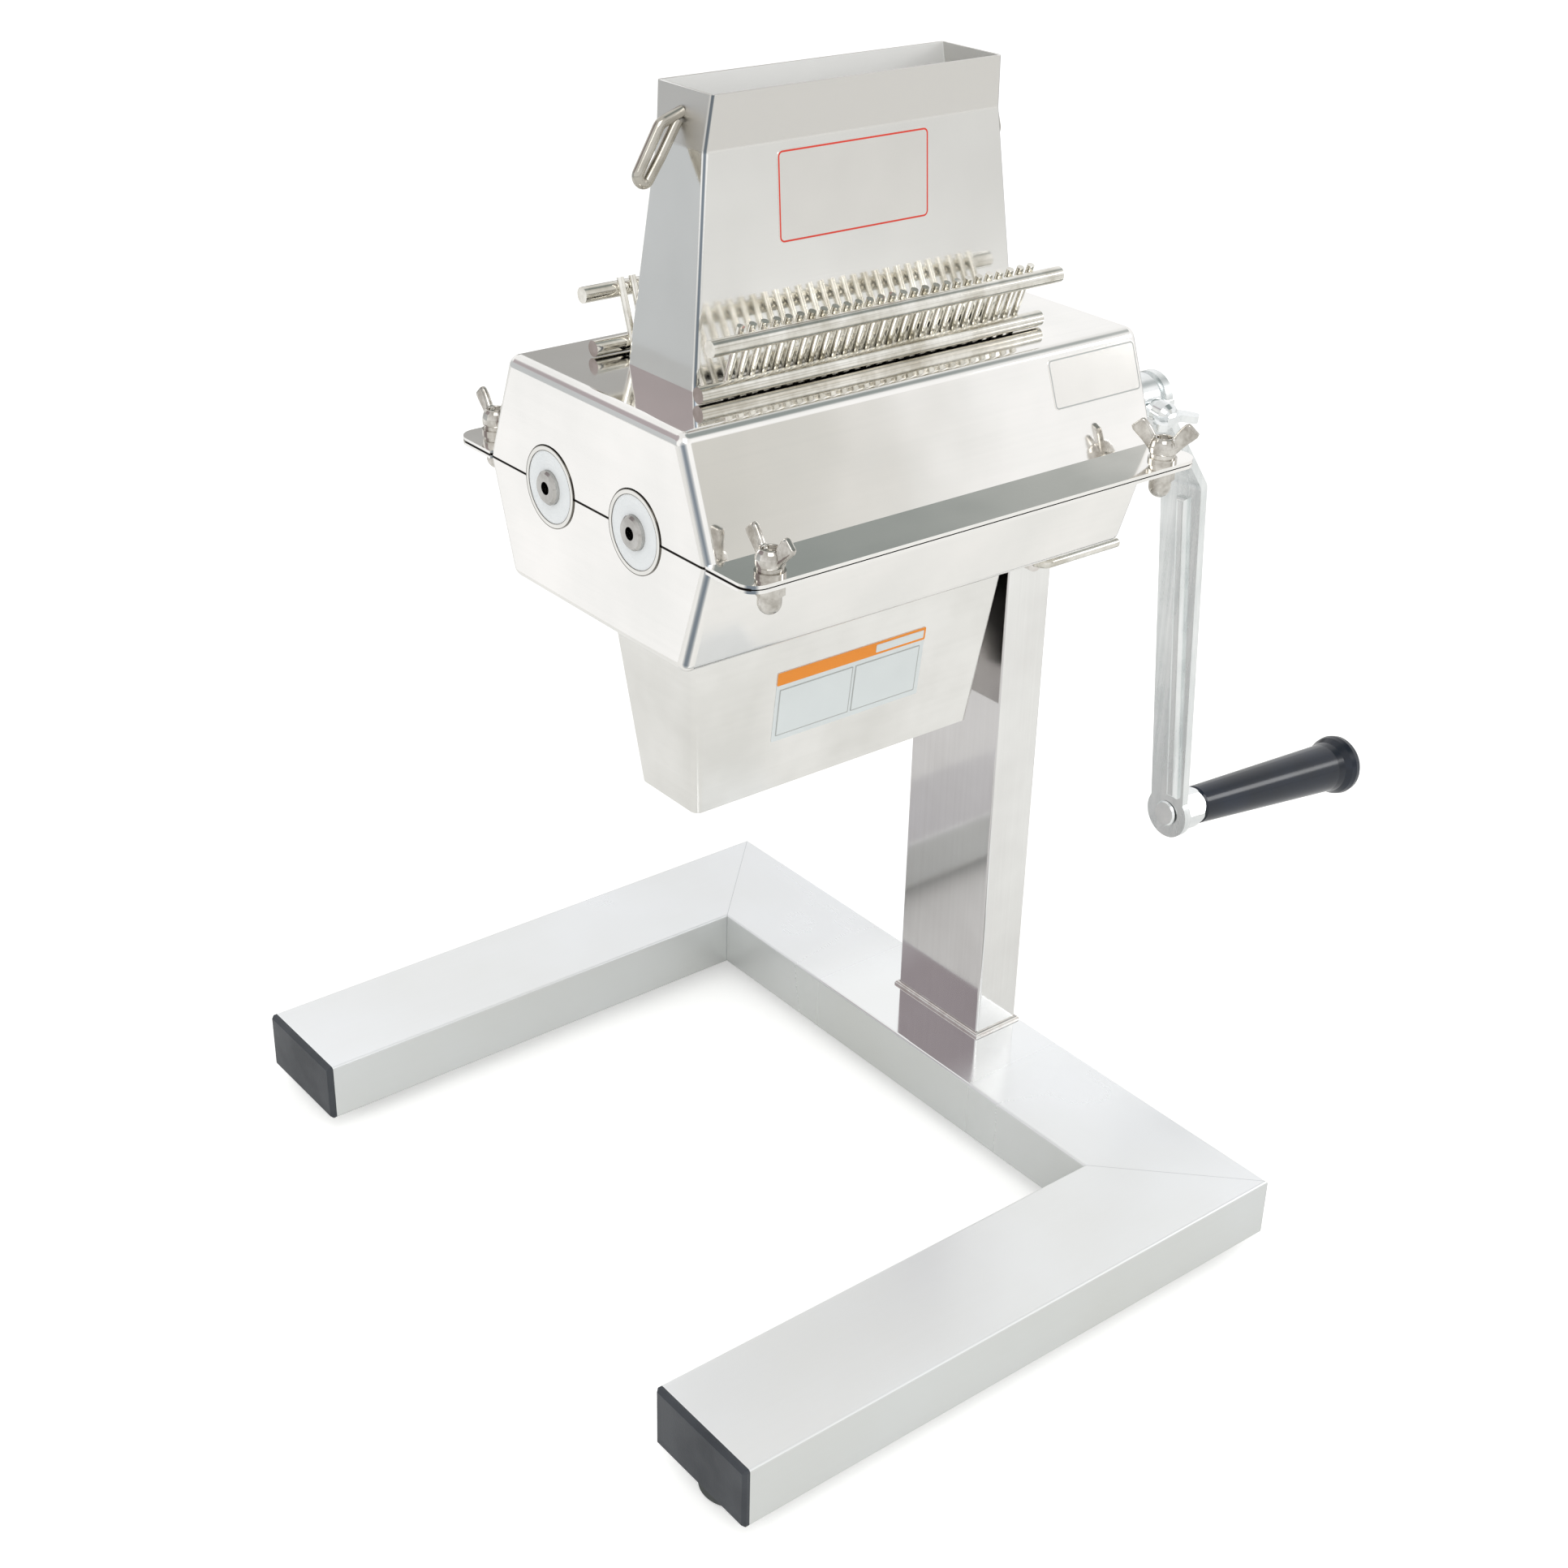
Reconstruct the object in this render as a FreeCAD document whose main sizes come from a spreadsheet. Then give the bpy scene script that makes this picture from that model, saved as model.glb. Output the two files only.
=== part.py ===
import FreeCAD, Part
import math
import os
import re
import Sketcher

# Hand cranked meat tenderizer on a U shaped stand, in millimetres.
# +X points to the crank end, -Y to the front, +Z up.  It is drawn about a point on the
# floor under the centre of the stand, and written out with the origin under the middle
# of the whole machine, crank included.

os.makedirs("parts", exist_ok=True)
doc = FreeCAD.newDocument("meat_tenderizer")
Vector = FreeCAD.Vector
Rotation = FreeCAD.Rotation

SIZES = (
    ("origin_x", 89.8, "middle of the whole machine, from the centre of the stand"),
    # the stand
    ("base_length", 254, "stand, front to back along X, caps included"),
    ("base_width", 330, "stand along Y"),
    ("tube_width", 50, "stand tube, flat side"),
    ("tube_height", 25, "stand tube, height"),
    ("tube_wall", 1.5, "wall of the stand and post tubes"),
    ("tube_corner", 1.2, "outer corner of the tubes"),
    ("cap_plate", 2.5, "end cap outside the tube"),
    ("cap_plug", 8, "end cap inside the tube"),
    ("foot_height", 8, "rubber foot"),
    ("foot_rad", 13, "rubber foot at the floor"),
    ("foot_inset", 16, "centre of a foot from the stand's end"),
    ("rear_foot_inset", 25, "the same for the foot at the open end of the rear arm"),
    ("foot_spread", 140, "foot centre from the middle plane"),
    # the post
    ("post_middle_x", 114, "centre of the post"),
    ("post_depth", 22, "post tube along X"),
    ("post_width", 50, "post tube along Y"),
    ("post_top", 255.8, "top edge of the post tube"),
    ("spigot_gap", 0.3, "play of the spigot in the post"),
    ("spigot_depth", 46, "spigot below the post's top edge"),
    ("lock_z", 247, "height of the lock screw"),
    ("lock_rad", 1.9, "lock screw rod"),
    ("lock_reach", 39.5, "lever of the lock screw"),
    # the head
    ("head_middle_x", 32, "centre of the head"),
    ("head_length", 202, "both housings along X"),
    ("part_z", 300.8, "plane of the roller axes, where the housings meet"),
    ("part_gap", 0.4, "gap between the two housings"),
    ("part_half", 65, "half width of the housings at the joint"),
    ("top_half", 50, "half width of the upper housing's top"),
    ("top_z", 341, "top of the upper housing"),
    ("under_half", 51.5, "half width of the lower housing's underside"),
    ("under_z", 259.1, "underside of the lower housing"),
    ("flange_half", 86.5, "half width over the flanges"),
    ("sheet", 1.2, "sheet of the housings"),
    ("bend", 4.5, "outer bend of the housings along X"),
    ("end_bend", 4, "outer bend at the ends of the housings"),
    ("bolt_x", 88, "clamp bolts from the head's centre"),
    ("bolt_y", 79.8, "clamp bolts from the middle plane"),
    # rollers and bearings
    ("roller_y", 25, "roller axes from the middle plane"),
    ("journal_rad", 6, "shaft in the bush"),
    ("shaft_rad", 8, "shaft under the blades"),
    ("bush_play", 0.05, "running clearance in a bush"),
    ("bush_rad", 12.7, "outside of a bush"),
    ("collar_rad", 14.5, "outside of a bearing collar"),
    ("bush_length", 12, "bush along the shaft"),
    ("pitch", 4.885, "blade to blade, and finger to finger"),
    ("finger_count", 27, "fingers on a comb"),
    ("blade_rad", 24, "blade over its teeth"),
    ("blade_root_rad", 20.5, "blade between its teeth"),
    ("blade_thick", 0.9, "blade"),
    ("spacer_rad", 12.5, "spacer between blades"),
    ("gear_teeth", 20, "teeth of each gear"),
    ("gear_module", 2.5, "twice the roller offset over the teeth"),
    ("gear_face", 13, "gear along the shaft"),
    # combs
    ("comb_angle", 20, "lean of the fingers from upright"),
    ("comb_y", 36, "upper rod from the middle plane"),
    ("comb_z", 361, "upper rod"),
    ("comb_rod_rad", 2.8, "both rods"),
    ("comb_rod_left", -47.2, "end of both rods away from the crank"),
    ("comb_top_rod", 152.6, "length of the upper rod"),
    ("comb_lower_rod", 150.4, "length of the lower rod"),
    ("finger_rad", 1.3, "finger"),
    ("finger_tip_z", 296, "lower end of the fingers"),
    # hopper and chute
    ("hopper_sheet", 1.2, "sheet of the hopper and the chute"),
    ("hopper_middle_x", 30.3, "centre of the hopper, the blades and the combs"),
    ("hopper_foot_half", 71.2, "half length where the hopper stands"),
    ("hopper_foot_wide", 19.3, "half width where the hopper stands"),
    ("neck_z", 416, "neck of the hopper"),
    ("neck_wide", 13.6, "half width at the neck"),
    ("mouth_z", 433.7, "rim of the hopper"),
    ("mouth_half", 61.4, "half length at the rim"),
    ("mouth_wide", 15.2, "half width at the rim"),
    ("chute_middle_x", 27.6, "centre of the chute"),
    ("chute_top_half", 73.7, "half length of the chute at its top"),
    ("chute_top_wide", 26.4, "half width of the chute at its top"),
    ("chute_end_half", 65.9, "half length of the outlet"),
    ("chute_end_wide", 17.1, "half width of the outlet"),
    ("chute_end_z", 182.2, "lower edge of the outlet"),
    # crank
    ("crank_turn", -4.5, "rest angle of the crank about its shaft"),
    ("crank_rad", 183.2, "shaft to grip"),
    ("hub_rad", 9.9, "hub of the crank"),
    ("hub_start", 138, "hub, end at the housing"),
    ("hub_end", 169.8, "hub, end under the arm"),
    ("arm_face", 191, "machine side of the arm"),
    ("arm_thick", 3.5, "arm"),
    ("arm_top_wide", 21.2, "arm at its upper bend"),
    ("arm_end_wide", 17.4, "arm above its eye"),
    ("eye_rad", 10.7, "eye at the lower end"),
    ("screw_x", 162.5, "thumb screw along the hub"),
    ("screw_turn", 6, "thumb screw below the level"),
    ("grip_splay", 5.5, "grip from parallel to the shaft"),
    ("grip_start", 13.2, "grip from the outer face of the arm"),
    ("grip_length", 98.8, "grip with its flared end"),
    ("grip_bore", 3.1, "bore of the grip"),
)

sheet = doc.addObject("Spreadsheet::Sheet", "Sizes")
ALIASES = {name for name, number, note in SIZES}
for row, (name, number, note) in enumerate(SIZES, start=1):
    sheet.set(f"A{row}", str(number))
    sheet.setAlias(f"A{row}", name)
    sheet.set(f"B{row}", note)
doc.recompute()


def bound(text):
    """The expression with each size named as a cell of the sheet."""
    return re.sub(r"[a-z][a-z_]*", lambda m: "Sizes." + m[0] if m[0] in ALIASES else m[0], str(text))


def number(text):
    """The value of an expression on the sheet."""
    return float(sheet.evalExpression(bound(text)))


def bind(thing, **properties):
    """Ties properties to the sheet: Length="sheet * 2", or Base_x for Placement.Base.x."""
    for name, text in properties.items():
        thing.setExpression(name.replace("Base_", "Placement.Base."), bound(text))


# ---------------------------------------------------------------- sketches and features

def new_body(name):
    body = doc.addObject("PartDesign::Body", name)
    body.Label = name
    return body


def new_sketch(body, role, offset="0"):
    """A sketch on one of the body's own origin planes, moved along the plane's normal."""
    sketch = body.newObject("Sketcher::SketchObject", body.Name + "_sketch")
    plane = [item for item in body.Origin.OriginFeatures if item.Role == role][0]
    sketch.AttachmentSupport = [(plane, "")]
    sketch.MapMode = "FlatFace"
    sketch.setExpression("AttachmentOffset.Base.z", bound(offset))
    return sketch


def fix_point(sketch, edge, end, across=None, along=None):
    """Holds one point of an edge at two expressions, or in one direction only."""
    for kind, text in (("DistanceX", across), ("DistanceY", along)):
        if text is None:
            continue
        index = sketch.addConstraint(Sketcher.Constraint(kind, -1, 1, edge, end, number(text)))
        sketch.setExpression(f"Constraints[{index}]", bound(text))


def polygon(sketch, points):
    """A closed outline of straight edges through (across, along) expressions."""
    spots = [Vector(number(across), number(along), 0) for across, along in points]
    first = sketch.GeometryCount
    count = len(points)
    for index in range(count):
        sketch.addGeometry(Part.LineSegment(spots[index], spots[(index + 1) % count]))
    for index in range(count):
        follower = first + (index + 1) % count
        sketch.addConstraint(Sketcher.Constraint("Coincident", first + index, 2, follower, 1))
    for index, (across, along) in enumerate(points):
        fix_point(sketch, first + index, 1, across, along)
    return sketch


def rectangle(sketch, left, right, low, high):
    return polygon(sketch, [(left, low), (right, low), (right, high), (left, high)])


def circle(sketch, across, along, radius):
    spot = Vector(number(across), number(along), 0)
    edge = sketch.addGeometry(Part.Circle(spot, Vector(0, 0, 1), number(radius)))
    fix_point(sketch, edge, 3, across, along)
    index = sketch.addConstraint(Sketcher.Constraint("Radius", edge, number(radius)))
    sketch.setExpression(f"Constraints[{index}]", bound(radius))
    return sketch


def feature(body, kind, **properties):
    """Adds a PartDesign feature; texts among its properties are bound to the sheet."""
    item = body.newObject("PartDesign::" + kind, f"{body.Name}_{kind.lower()}")
    for name, value in properties.items():
        if isinstance(value, str) and name not in ("Type", "Mode"):
            setattr(item, name, number(value))
            item.setExpression(name, bound(value))
        else:
            setattr(item, name, value)
    doc.recompute()
    return item


def pad(body, sketch, length, midplane=False, reverse=False):
    return feature(body, "Pad", Profile=sketch, Length=length, Midplane=midplane, Reversed=reverse)


def cut_through(body, sketch, length, midplane=True, reverse=False):
    """A pocket that must take material away."""
    before = body.Shape.Volume
    pocket = feature(body, "Pocket", Profile=sketch, Length=length, Midplane=midplane, Reversed=reverse)
    if pocket.Shape.Volume > before - 0.01:
        raise RuntimeError(f"a pocket of {body.Label} cuts nothing")
    return pocket


def loft(body, sketches, kind="AdditiveLoft"):
    item = body.newObject("PartDesign::" + kind, f"{body.Name}_{kind.lower()}")
    item.Profile = sketches[0]
    item.Sections = sketches[1:]
    item.Ruled = True
    doc.recompute()
    return item


def soften(body, base, test, radius, kind="Fillet"):
    """Fillets or chamfers the edges of a feature whose two ends pass the test."""
    names = []
    for index, edge in enumerate(base.Shape.Edges, start=1):
        ends = [vertex.Point for vertex in edge.Vertexes]
        if len(ends) == 2 and test(*ends):
            names.append(f"Edge{index}")
    size_name = "Radius" if kind == "Fillet" else "Size"
    return feature(body, kind, Base=(base, names), **{size_name: radius})


def revolve(body, points, role="XZ_Plane", axis=None):
    """Turns a closed outline about the sketch's horizontal or vertical axis."""
    outline = polygon(new_sketch(body, role), points)
    return feature(body, "Revolution", Profile=outline, ReferenceAxis=(outline, [axis or "V_Axis"]),
                   Angle="360")


def compound(name, shapes):
    """A node of several separate solids of one kind."""
    item = doc.addObject("Part::Feature", name)
    item.Label = name
    item.Shape = Part.Compound(shapes)
    return item


def boolean(kind, name, base, tool):
    item = doc.addObject("Part::" + kind, name)
    item.Label = name
    item.Base = base
    item.Tool = tool
    return item


def primitive(kind, name, **properties):
    item = doc.addObject("Part::" + kind, name)
    bind(item, **properties)
    return item


def level(value):
    """A test for edges that lie at one height."""
    return lambda a, b: abs(a.z - number(value)) < 0.01 and abs(b.z - number(value)) < 0.01


NODES = []


def keep(*items):
    NODES.extend(items)


# ---------------------------------------------------------------- stand tubes
# Rectangular tube, mitred at the two corners of the U and welded.

TUBE_LOW = "foot_height"
TUBE_HIGH = "foot_height + tube_height"
OPEN_END = "cap_plate - base_length / 2"
BACK = "base_length / 2"


def along_x(a, b):
    return abs(a.y - b.y) < 0.01 and abs(a.z - b.z) < 0.01


def along_y(a, b):
    return abs(a.x - b.x) < 0.01 and abs(a.z - b.z) < 0.01


def stand_arm(name, side):
    """side is -1 for the front arm and 1 for the rear one."""
    outer = f"{side} * base_width / 2"
    inner = f"{side} * (base_width / 2 - tube_width)"
    inset = "foot_inset" if side < 0 else "rear_foot_inset"
    body = new_body(name)
    plan = new_sketch(body, "XY_Plane", TUBE_LOW)
    polygon(plan, [(OPEN_END, outer), (BACK, outer), (f"{BACK} - tube_width", inner), (OPEN_END, inner)])
    block = pad(body, plan, "tube_height")
    soften(body, block, along_x, "tube_corner")
    bore = new_sketch(body, "YZ_Plane", OPEN_END)
    walls = [f"{outer} - {side} * tube_wall", f"{inner} + {side} * tube_wall"]
    rectangle(bore, *walls, f"{TUBE_LOW} + tube_wall", f"{TUBE_HIGH} - tube_wall")
    cut_through(body, bore, "base_length", midplane=False, reverse=True)
    hole = new_sketch(body, "XY_Plane", TUBE_LOW)
    circle(hole, f"{inset} - base_length / 2", f"{side} * foot_spread", "2.1")
    cut_through(body, hole, "tube_wall * 2")
    return body


def stand_crossbar():
    body = new_body("base_crossbar")
    half = "base_width / 2"
    inner = f"{BACK} - tube_width"
    plan = new_sketch(body, "XY_Plane", TUBE_LOW)
    polygon(plan, [(BACK, f"-{half}"), (BACK, half),
                   (inner, f"{half} - tube_width"), (inner, f"tube_width - {half}")])
    block = pad(body, plan, "tube_height")
    soften(body, block, along_y, "tube_corner")
    bore = new_sketch(body, "XZ_Plane")
    rectangle(bore, f"{BACK} - tube_width + tube_wall", f"{BACK} - tube_wall",
              f"{TUBE_LOW} + tube_wall", f"{TUBE_HIGH} - tube_wall")
    cut_through(body, bore, "base_width * 2")
    holes = new_sketch(body, "XY_Plane", TUBE_LOW)
    for side in (-1, 1):
        circle(holes, "base_length / 2 - foot_inset", f"{side} * foot_spread", "2.1")
    cut_through(body, holes, "tube_wall * 2")
    return body


keep(stand_arm("base_arm_front", -1), stand_arm("base_arm_rear", 1), stand_crossbar())


# ---------------------------------------------------------------- end caps
# Moulded plastic: a plate over the tube's end and a plug inside it.

def end_cap(name, side):
    body = new_body(name)
    middle = f"{side} * (base_width / 2 - tube_width / 2)"
    plate = new_sketch(body, "YZ_Plane", "-base_length / 2")
    rectangle(plate, f"{middle} - tube_width / 2", f"{middle} + tube_width / 2", TUBE_LOW, TUBE_HIGH)
    block = pad(body, plate, "cap_plate")
    face = number("-base_length / 2")
    rounded = soften(body, block, lambda a, b: abs(a.x - b.x) > 1, "tube_corner")
    soften(body, rounded, lambda a, b: abs(a.x - face) < 0.01 and abs(b.x - face) < 0.01, "1.2", "Chamfer")
    plug = new_sketch(body, "YZ_Plane", OPEN_END)
    side_wall = "tube_width / 2 - tube_wall - 0.1"
    rectangle(plug, f"{middle} - ({side_wall})", f"{middle} + {side_wall}",
              f"{TUBE_LOW} + tube_wall + 0.1", f"{TUBE_HIGH} - tube_wall - 0.1")
    pad(body, plug, "cap_plug")
    hollow = new_sketch(body, "YZ_Plane", f"{OPEN_END} + cap_plug")
    rectangle(hollow, f"{middle} - ({side_wall}) + 2", f"{middle} + {side_wall} - 2",
              f"{TUBE_LOW} + tube_wall + 2.1", f"{TUBE_HIGH} - tube_wall - 2.1")
    cut_through(body, hollow, "cap_plug", midplane=False)
    return body


keep(end_cap("end_cap_front", -1), end_cap("end_cap_rear", 1))


# ---------------------------------------------------------------- feet
# Turned rubber feet, each held by a pan head screw sunk in its underside.

def foot(name, x, y):
    body = new_body(name)
    profile = [("2.1", "4"), ("4.6", "4"), ("4.6", "0"), ("foot_rad - 1", "0"), ("foot_rad", "1")]
    profile += [("foot_rad - 1", "foot_height"), ("2.1", "foot_height")]
    revolve(body, profile)
    bind(body, Base_x=x, Base_y=y)
    return body


FOOT_PLACES = {
    "front_left": ("foot_inset - base_length / 2", "-foot_spread"),
    "rear_left": ("rear_foot_inset - base_length / 2", "foot_spread"),
    "front_right": ("base_length / 2 - foot_inset", "-foot_spread"),
    "rear_right": ("base_length / 2 - foot_inset", "foot_spread"),
}
screws = []
for place, (foot_x, foot_y) in FOOT_PLACES.items():
    keep(foot(f"foot_{place}", foot_x, foot_y))
    centre = Vector(number(foot_x), number(foot_y), 0)
    head = Part.makeCylinder(4.2, 2.6, centre + Vector(0, 0, 1.4))
    shank = Part.makeCylinder(2, 14, centre + Vector(0, 0, 4))
    screws.append(head.fuse(shank).removeSplitter())
keep(compound("foot_screws", screws))


# ---------------------------------------------------------------- post
# Upright tube on the crossbar, with the boss of the lock screw near its top.

def post_tube():
    body = new_body("post_tube")
    plan = new_sketch(body, "XY_Plane", TUBE_HIGH)
    half_x, half_y = "post_depth / 2", "post_width / 2"
    rectangle(plan, f"post_middle_x - {half_x}", f"post_middle_x + {half_x}", f"-{half_y}", half_y)
    block = pad(body, plan, f"post_top - ({TUBE_HIGH})")
    soften(body, block, lambda a, b: abs(a.z - b.z) > 9, "tube_corner")
    bore = new_sketch(body, "XY_Plane", TUBE_HIGH)
    rectangle(bore, f"post_middle_x - {half_x} + tube_wall", f"post_middle_x + {half_x} - tube_wall",
              f"tube_wall - {half_y}", f"{half_y} - tube_wall")
    cut_through(body, bore, "post_top * 2")
    hole = circle(new_sketch(body, "XZ_Plane", f"{half_y}"), "post_middle_x", "lock_z", "lock_rad + 0.3")
    cut_through(body, hole, "tube_wall * 2")
    return body


def post_weld():
    """A fillet weld round the foot of the post."""
    body = new_body("post_weld")
    plan = new_sketch(body, "XY_Plane", TUBE_HIGH)
    half_x, half_y = "post_depth / 2 + 1.3", "post_width / 2 + 1.3"
    rectangle(plan, f"post_middle_x - ({half_x})", f"post_middle_x + {half_x}", f"-({half_y})", half_y)
    bead = pad(body, plan, "1.7")
    soften(body, bead, level(f"{TUBE_HIGH} + 1.7"), "1.2")
    inside = new_sketch(body, "XY_Plane", TUBE_HIGH)
    rectangle(inside, "post_middle_x - post_depth / 2", "post_middle_x + post_depth / 2",
              "-post_width / 2", "post_width / 2")
    cut_through(body, inside, "20")
    return body


BOSS_END = "-post_width / 2 - 2.5"


def lock_boss():
    body = new_body("lock_boss")
    ring = new_sketch(body, "XZ_Plane", "post_width / 2")
    circle(ring, "post_middle_x", "lock_z", "4")
    circle(ring, "post_middle_x", "lock_z", "lock_rad + 0.08")
    pad(body, ring, "2.5")
    return body


def lock_screw():
    """A rod that screws in along Y and turns at a right angle into a lever along X."""
    body = new_body("lock_screw")
    tip = "-post_width / 2 + tube_wall"
    bend = "3.5"
    lever_y = f"{BOSS_END} - 4"
    spine = new_sketch(body, "XY_Plane", "lock_z")
    corner = Vector(number("post_middle_x"), number(lever_y) + number(bend), 0)
    leg = spine.addGeometry(Part.LineSegment(Vector(corner.x, number(tip), 0), corner))
    centre = corner + Vector(number(bend), 0, 0)
    turn = Part.ArcOfCircle(Part.Circle(centre, Vector(0, 0, 1), number(bend)), math.pi, 1.5 * math.pi)
    arc = spine.addGeometry(turn)
    start = centre - Vector(0, number(bend), 0)
    lever = spine.addGeometry(Part.LineSegment(start, start + Vector(number("lock_reach - 3.5"), 0, 0)))
    spine.addConstraint(Sketcher.Constraint("Coincident", leg, 2, arc, 1))
    spine.addConstraint(Sketcher.Constraint("Coincident", arc, 2, lever, 1))
    fix_point(spine, leg, 1, "post_middle_x", tip)
    fix_point(spine, leg, 2, "post_middle_x", f"{lever_y} + {bend}")
    fix_point(spine, lever, 1, f"post_middle_x + {bend}")
    fix_point(spine, lever, 2, "post_middle_x + lock_reach", lever_y)
    fix_point(spine, arc, 3, f"post_middle_x + {bend}", f"{lever_y} + {bend}")
    section = circle(new_sketch(body, "XZ_Plane", f"-({tip})"), "post_middle_x", "lock_z", "lock_rad")
    pipe = body.newObject("PartDesign::AdditivePipe", "lock_pipe")
    pipe.Profile = section
    pipe.Spine = spine
    doc.recompute()
    end = number("post_middle_x + lock_reach")
    names = [f"Edge{index}" for index, edge in enumerate(pipe.Shape.Edges, start=1)
             if abs(edge.CenterOfMass.x - end) < 0.01]
    feature(body, "Fillet", Base=(pipe, names), Radius="0.8")
    return body


keep(post_tube(), post_weld(), lock_boss(), lock_screw())


# ---------------------------------------------------------------- spigot
# Tube welded under the head, which drops into the post and is clamped by the lock screw.

def head_spigot():
    body = new_body("head_spigot")
    plate = new_sketch(body, "XY_Plane", "under_z - 3")
    rectangle(plate, "post_middle_x - post_depth / 2 - 1", "post_middle_x + post_depth / 2 + 1",
              "-post_width / 2 - 1", "post_width / 2 + 1")
    pad(body, plate, "3")
    wall = "tube_wall + spigot_gap"
    tube = new_sketch(body, "XY_Plane", "under_z - 3")
    rectangle(tube, f"post_middle_x - post_depth / 2 + {wall}", f"post_middle_x + post_depth / 2 - ({wall})",
              f"{wall} - post_width / 2", f"post_width / 2 - ({wall})")
    pad(body, tube, "spigot_depth", reverse=True)
    bore = new_sketch(body, "XY_Plane", "under_z - 3")
    wall = "tube_wall + spigot_gap + 2"
    rectangle(bore, f"post_middle_x - post_depth / 2 + {wall}", f"post_middle_x + post_depth / 2 - ({wall})",
              f"{wall} - post_width / 2", f"post_width / 2 - ({wall})")
    cut_through(body, bore, "spigot_depth", midplane=False)
    return body


keep(head_spigot())


# ---------------------------------------------------------------- housings
# Two folded sheet troughs that meet on the plane of the roller axes.  Each has a flange
# along its front and back, round cut-outs for the bearings, and bolt holes.

HEAD_LEFT = "head_middle_x - head_length / 2"
HEAD_RIGHT = "head_middle_x + head_length / 2"


def trough(name, joint, far, far_half, notch):
    """Sheet folded to a trapezium that narrows from the joint's height to the far height."""
    body = new_body(name)
    away = 1 if number(far) > number(joint) else -1
    profile = new_sketch(body, "YZ_Plane", HEAD_LEFT)
    polygon(profile, [("-part_half", joint), ("part_half", joint), (far_half, far), (f"-{far_half}", far)])
    block = pad(body, profile, "head_length")
    joint_z, far_z = number(joint), number(far)
    folded = soften(body, block, lambda a, b: abs(a.x - b.x) > 50 and abs(a.z - far_z) < 0.01, "bend")
    rounded = soften(body, folded, lambda a, b: abs(a.x - b.x) < 0.01
                     and max(abs(a.z - joint_z), abs(b.z - joint_z)) > 0.01, "end_bend")
    mouth = [f"Face{index}" for index, face in enumerate(rounded.Shape.Faces, start=1)
             if abs(face.CenterOfMass.z - joint_z) < 0.01]
    feature(body, "Thickness", Base=(rounded, mouth), Value="sheet", Reversed=True)
    for side in (-1, 1):
        flange = new_sketch(body, "XY_Plane", joint)
        low, high = sorted([f"{side} * (part_half - 1.4)", f"{side} * flange_half"], key=number)
        rectangle(flange, HEAD_LEFT, HEAD_RIGHT, low, high)
        plate = pad(body, flange, "sheet", reverse=(away < 0))
        reach = number("flange_half")
        soften(body, plate, lambda a, b: abs(a.z - b.z) > 1 and abs(a.z - b.z) < 2
               and abs(abs(a.y) - reach) < 0.01 and a.y * side > 0, "7")
    bearings = new_sketch(body, "YZ_Plane")
    for side in (-1, 1):
        circle(bearings, f"{side} * roller_y", "part_z", notch)
    cut_through(body, bearings, "head_length * 3")
    holes = new_sketch(body, "XY_Plane", joint)
    for end in (-1, 1):
        for side in (-1, 1):
            circle(holes, f"head_middle_x + {end} * bolt_x", f"{side} * bolt_y", "2.8")
    cut_through(body, holes, "sheet * 4")
    return body


def upper_housing():
    body = trough("upper_housing", "part_z + part_gap / 2", "top_z", "top_half", "collar_rad + 0.3")
    throat = new_sketch(body, "XY_Plane", "top_z")
    half, wide = "hopper_foot_half - hopper_sheet", "hopper_foot_wide - hopper_sheet"
    rectangle(throat, f"hopper_middle_x - ({half})", f"hopper_middle_x + {half}", f"-({wide})", wide)
    cut_through(body, throat, "sheet * 4")
    slots = new_sketch(body, "XY_Plane", "top_z")
    slot_half = "pitch * (finger_count - 1) / 2 + 3"
    for side in (-1, 1):
        low, high = sorted([f"{side} * 22", f"{side} * 27.2"], key=number)
        rectangle(slots, f"hopper_middle_x - ({slot_half})", f"hopper_middle_x + {slot_half}", low, high)
    cut_through(body, slots, "sheet * 4")
    return body


def lower_housing():
    body = trough("lower_housing", "part_z - part_gap / 2", "under_z", "under_half", "collar_rad")
    outlet = new_sketch(body, "XY_Plane", "under_z")
    half, wide = "chute_top_half - hopper_sheet", "chute_top_wide - hopper_sheet"
    rectangle(outlet, f"chute_middle_x - ({half})", f"chute_middle_x + {half}", f"-({wide})", wide)
    cut_through(body, outlet, "sheet * 4")
    return body


keep(lower_housing(), upper_housing())


# ---------------------------------------------------------------- hopper and chute
# Thin sheet ducts with four walls: the hopper narrows to a neck and opens again at its
# rim, and the chute narrows to the outlet.

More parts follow.
